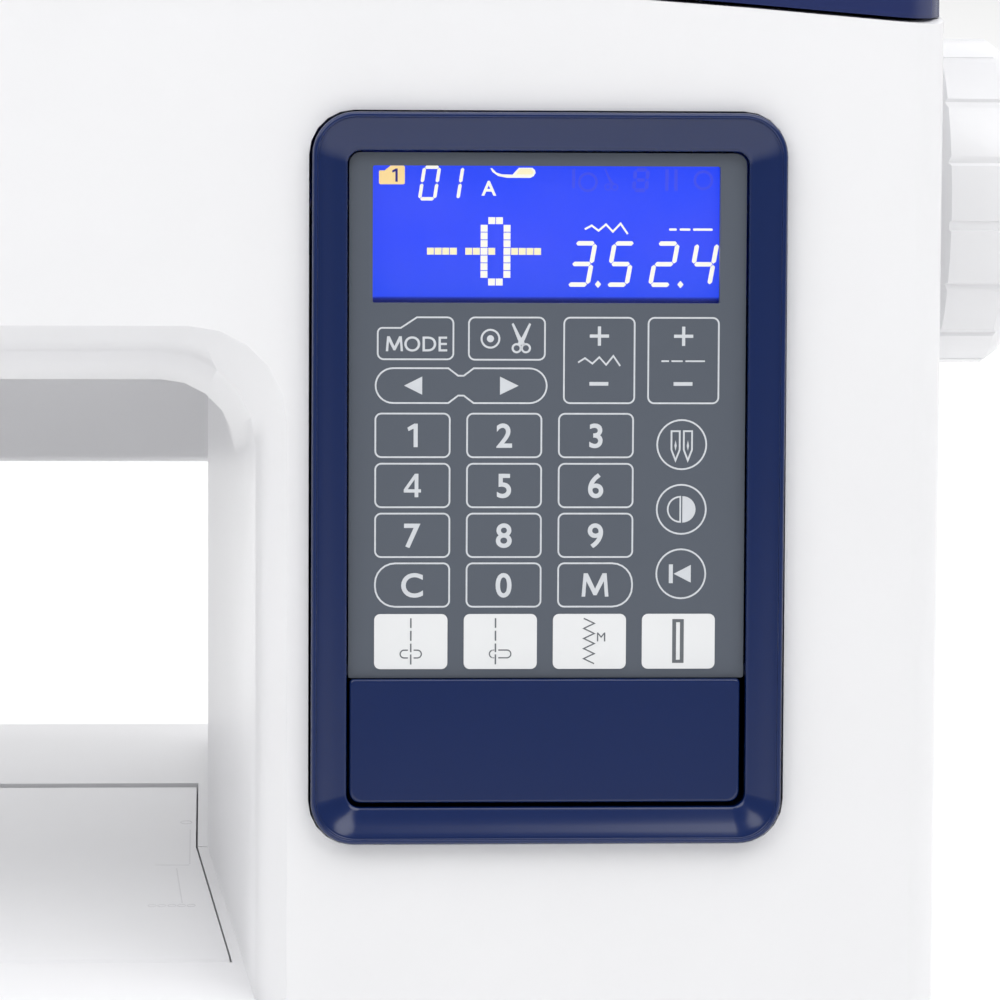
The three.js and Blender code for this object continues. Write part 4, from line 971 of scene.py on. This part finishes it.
def needle_plate_marks():
    """Seam allowance lines to the right of the needle, with their distances in millimetres."""
    low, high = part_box("needle_plate")
    needle_x = middle("needle").x / MM
    place = flat_on_top(0, 0, high.z)
    marks = Mark(-0.03, 0.05)
    front, back = low.y / MM + 1.5, high.y / MM - 1.5
    baseline = front + 13.3
    for distance in (10, 15, 20, 25):
        x = needle_x + distance
        marks.shape(bar(x, back - 6, 0.12, 5.6))
        marks.shape(bar(x, front + 6.5, 0.12, 6.0))
    for distance, last_digit in ((10.1, "0"), (15.1, "5")):
        x = needle_x + distance
        marks.shape(drawn_glyph("1", x - 0.75, baseline, PLATE_DIGIT))
        marks.text(last_digit, x + 0.55, baseline, PLATE_DIGIT, weight=0)
    for distance, number in ((20.1, "20"), (25.0, "25")):
        marks.text(number, needle_x + distance, baseline, PLATE_DIGIT, weight=0)
    marks.finish("seam_guide_lines", place, ride_of("needle_plate"), NAVY_INK, "navy_plastic")


def bed_marks():
    """Faint marks moulded in the bed beside the pillar."""
    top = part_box("free_arm_cover")[1].z
    place = flat_on_top(0, -6.8 * MM, top)
    marks = Mark(-0.02, 0.08)
    marks.shape(stroke([(66.5, 2.7), (73.0, 2.6)], 0.22))
    marks.shape(stroke([(73.1, 3.4), (73.1, 27)], 0.22))
    marks.shape(stroke(circle(72.3, 32.4, 1.1, 24), 0.25, closed=True))
    marks.shape(stroke([(70.6, 0.4), (71.8, -22.4)], 0.22))
    for u in (66.2, 68.0, 69.9, 71.7, 73.5):
        marks.shape(stroke(circle(u, -24, 0.75, 16), 0.22, closed=True))
    marks.finish("bed_marks", place, ride_of("free_arm_cover"), MARK, "white_plastic")


# ---------------------------------------------------------------- panel surround

RING_H, RING_R = 63.7, 7.5  # half height and corner radius of the rim
RIM = {"left_top": -41.05, "left_bottom": -41.2, "right_top": 41.4, "right_bottom": 41.0}
MOUTH = {"w": 34.9, "bottom": -57.5, "top": 57.0, "r": 2.4}
RING_PROFILE = [  # share of the way in from the rim to the mouth, and depth
    (0.0, 9.0), (0.0, 0.0), (0.0, -1.75), (0.008, -2.2), (0.03, -2.55), (0.062, -2.74), (0.1, -2.78),
    (0.122, -2.75), (0.138, -2.64), (0.146, -2.45), (0.152, -2.3), (0.166, -2.2), (0.19, -2.17),
    (0.22, -2.13), (0.35, -1.75), (0.5, -1.22), (0.7, -0.62), (0.9, -0.15), (0.965, 0.0), (0.99, 0.18),
    (1.0, 0.5), (1.0, 9.0),
]
TRAY = {"front": 2.6, "floor": 16.0, "top": -34.2, "wall": 1.6, "fillet": 0.8}
EVEN_WEIGHT = 60  # of the weighted normals on the lofted pieces


def ring_outline(share):
    """The surround's outline at that share of the way from its rim to its mouth."""
    def at(rim, mouth):
        return rim + (mouth - rim) * share

    radius = at(RING_R, MOUTH["r"])
    half = 2 * RING_R  # wide enough for the corners, and then pulled apart to the real width
    outline = round_rect(-half, at(-RING_H, MOUTH["bottom"]), half, at(RING_H, MOUTH["top"]), radius, 14)
    points = []
    for u, v in outline:
        height = (v + RING_H) / (2 * RING_H)
        side = "right" if u > 0 else "left"
        rim = RIM[side + "_bottom"] + (RIM[side + "_top"] - RIM[side + "_bottom"]) * height
        mouth = math.copysign(MOUTH["w"], u)
        points.append((u - math.copysign(half, u) + at(rim, mouth), v))
    return points


def at_depth(outline, depth):
    return [(u, depth, v) for u, v in outline]


def lofted(name, rings, closed=True, shade_smooth=True):
    """A glossy tube through rings of equal length. Its ends join, or are capped if it isn't closed."""
    mesh = bmesh.new()
    rows = [[mesh.verts.new(p) for p in ring] for ring in rings]
    pairs = list(zip(rows, rows[1:])) + ([(rows[-1], rows[0])] if closed else [])
    for a, b in pairs:
        for i in range(len(a)):
            j = (i + 1) % len(a)
            mesh.faces.new((a[i], a[j], b[j], b[i]))
    if not closed:
        mesh.faces.new(rows[0])
        mesh.faces.new(rows[-1])
    bmesh.ops.recalc_face_normals(mesh, faces=mesh.faces)
    made = bpy.data.meshes.new(name)
    mesh.to_mesh(made)
    mesh.free()
    made.transform(PANEL)
    made.polygons.foreach_set("use_smooth", [shade_smooth] * len(made.polygons))
    made.materials.append(NAVY_GLOSS.material)
    piece = bpy.data.objects.new(name, made)
    bpy.context.scene.collection.objects.link(piece)
    return piece


def panel_surround():
    """The glossy moulding round the keypad, with a rolled lip and a dished bevel."""
    rings = [at_depth(ring_outline(share), depth) for share, depth in RING_PROFILE]
    surround = lofted("panel_surround", rings)
    surround.modifiers.new("even shading", "WEIGHTED_NORMAL").weight = EVEN_WEIGHT
    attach(surround, "body")
    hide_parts("panel_frame")


def flap_tray():
    """The shallow tray that the flap covers, from its floor round the rim to its back."""
    half, bottom, top = MOUTH["w"], MOUTH["bottom"], TRAY["top"]
    wall, floor = TRAY["wall"], TRAY["floor"]
    inside = round_rect(-half, bottom, half, top, [0.6, 0.6, 2.2, 2.2], 6)
    outside = round_rect(-half - wall, bottom - wall, half + wall, top + wall, [1, 1, 3, 3], 6)
    shrunk = [(u * 0.97, bottom + (v - bottom) * 0.94 + 0.6) for u, v in inside]
    rings = [
        at_depth(shrunk, floor),
        at_depth(inside, floor - TRAY["fillet"]),
        at_depth(inside, TRAY["front"]),
        at_depth(outside, TRAY["front"]),
        at_depth(outside, floor + wall),
    ]
    tray = lofted("flap_tray", rings, closed=False, shade_smooth=False)
    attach(tray, "body")


FLAP = {"left": -34.4, "right": 33.9, "bottom": -56.7, "top": -35.0}
FLAP_PROFILE = [  # inset and depth
    (0.0, 2.4), (0.0, 0.75), (0.05, 0.5), (0.16, 0.32), (0.32, 0.23), (0.52, 0.2),
]


def flap_outline(inset):
    left, bottom = FLAP["left"] + inset, FLAP["bottom"] + inset
    right, top = FLAP["right"] - inset, FLAP["top"] - inset
    return round_rect(left, bottom, right, top, [0.7, 0.7, 1.9, 1.9], 6)


def glossy_flap():
    """The flap under the keypad, with rolled edges that catch the light."""
    rings = [at_depth(flap_outline(inset), depth) for inset, depth in FLAP_PROFILE]
    flap = lofted("glossy_flap", rings, closed=False)
    flap.modifiers.new("even shading", "WEIGHTED_NORMAL").weight = EVEN_WEIGHT
    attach(flap, ride_of("panel_flap"))
    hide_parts("panel_flap")


# ---------------------------------------------------------------- stage, light and camera

VIEW_AZIMUTH, VIEW_ELEVATION, VIEW_ROLL = -3.37, 12.29, 0.73  # degrees
VIEW_DISTANCE = 870 * MM
VIEW_AIM = (-8.3, 0, -3.6)  # the point of the panel in the middle of the picture
LENS = 180
SOFTBOXES = {  # azimuth and elevation in degrees, distance, width and height in metres, power
    "key_light": (-44, 46, 1.8, 1.3, 1.1, 10.2),
    "fill_light": (43, 48, 1.9, 1.2, 1.1, 11.6),
    "top_light": (8, 80, 1.9, 1.5, 1.3, 9.5),
    "back_light": (180, 34, 2.2, 2.4, 0.9, 5),
}
ROOM_FRONT, ROOM_BACK = (-0.6, 0.24), (-0.1, 1.0)  # the Y of a direction, and how bright the room is there
FLOOR_SIZE = 60


def towards(azimuth, elevation):
    """The direction of a viewer at these angles in degrees. Azimuth 0 is in front."""
    a, e = math.radians(azimuth), math.radians(elevation)
    return Vector((math.sin(a) * math.cos(e), -math.cos(a) * math.cos(e), math.sin(e)))


def add_camera():
    back = towards(VIEW_AZIMUTH, VIEW_ELEVATION)
    camera = bpy.data.objects.new("camera", bpy.data.cameras.new("camera"))
    camera.data.lens = LENS
    camera.data.sensor_width = 36
    camera.data.clip_start = 0.01
    bpy.context.scene.collection.objects.link(camera)
    camera.location = PANEL @ Vector(VIEW_AIM) + back * VIEW_DISTANCE
    facing = (-back).to_track_quat("-Z", "Y")
    roll = Matrix.Rotation(math.radians(VIEW_ROLL), 3, "Z").to_quaternion()
    camera.rotation_mode = "QUATERNION"
    camera.rotation_quaternion = facing @ roll
    bpy.context.scene.camera = camera


def softbox(name, azimuth, elevation, distance, width, height, power):
    """A large area light that faces the machine's middle."""
    low, high = CAD_BOX
    centre = (low + high) / 2
    back = towards(azimuth, elevation)
    data = bpy.data.lights.new(name, "AREA")
    data.shape = "RECTANGLE"
    data.size, data.size_y = width, height
    data.energy = power
    light = bpy.data.objects.new(name, data)
    light.location = centre + back * distance
    light.rotation_mode = "QUATERNION"
    light.rotation_quaternion = (-back).to_track_quat("-Z", "Y")
    bpy.context.scene.collection.objects.link(light)


def add_room():
    """A white room that is dimmer in front, so that gloss keeps its colour."""
    world = bpy.data.worlds.new("studio")
    bpy.context.scene.world = world
    world.use_nodes = True
    tree = world.node_tree
    background = tree.nodes["Background"]
    around = tree.nodes.new("ShaderNodeTexCoord").outputs["Generated"]
    split = tree.nodes.new("ShaderNodeSeparateXYZ")
    tree.links.new(around, split.inputs["Vector"])
    spread = tree.nodes.new("ShaderNodeMapRange")
    spread.interpolation_type = "SMOOTHSTEP"
    spread.inputs["From Min"].default_value, spread.inputs["To Min"].default_value = ROOM_FRONT
    spread.inputs["From Max"].default_value, spread.inputs["To Max"].default_value = ROOM_BACK
    tree.links.new(split.outputs["Y"], spread.inputs["Value"])
    tree.links.new(spread.outputs["Result"], background.inputs["Strength"])
    background.inputs["Color"].default_value = (1, 1, 1, 1)


def add_light():
    add_room()
    for name, settings in SOFTBOXES.items():
        softbox(name, *settings)
    bpy.context.scene.view_settings.view_transform = "Standard"


def add_floor():
    bpy.ops.mesh.primitive_plane_add(size=FLOOR_SIZE, location=(0, 0, 0))
    floor = bpy.context.object
    floor.name = "studio_floor"
    finish = Finish("studio_floor", (0.93, 0.93, 0.93), 0.8).mottle(400, 0.004)
    floor.data.materials.append(finish.material)


add_camera()
add_light()
add_floor()
dress_cad_nodes()
panel_surround()
flap_tray()
glossy_flap()
keypad_symbols()
keypad_labels()
white_keys()
white_key_symbols()
display_content()
display_ghosts()
dial_marks()
head_panel_marks()
needle_plate_marks()
bed_marks()
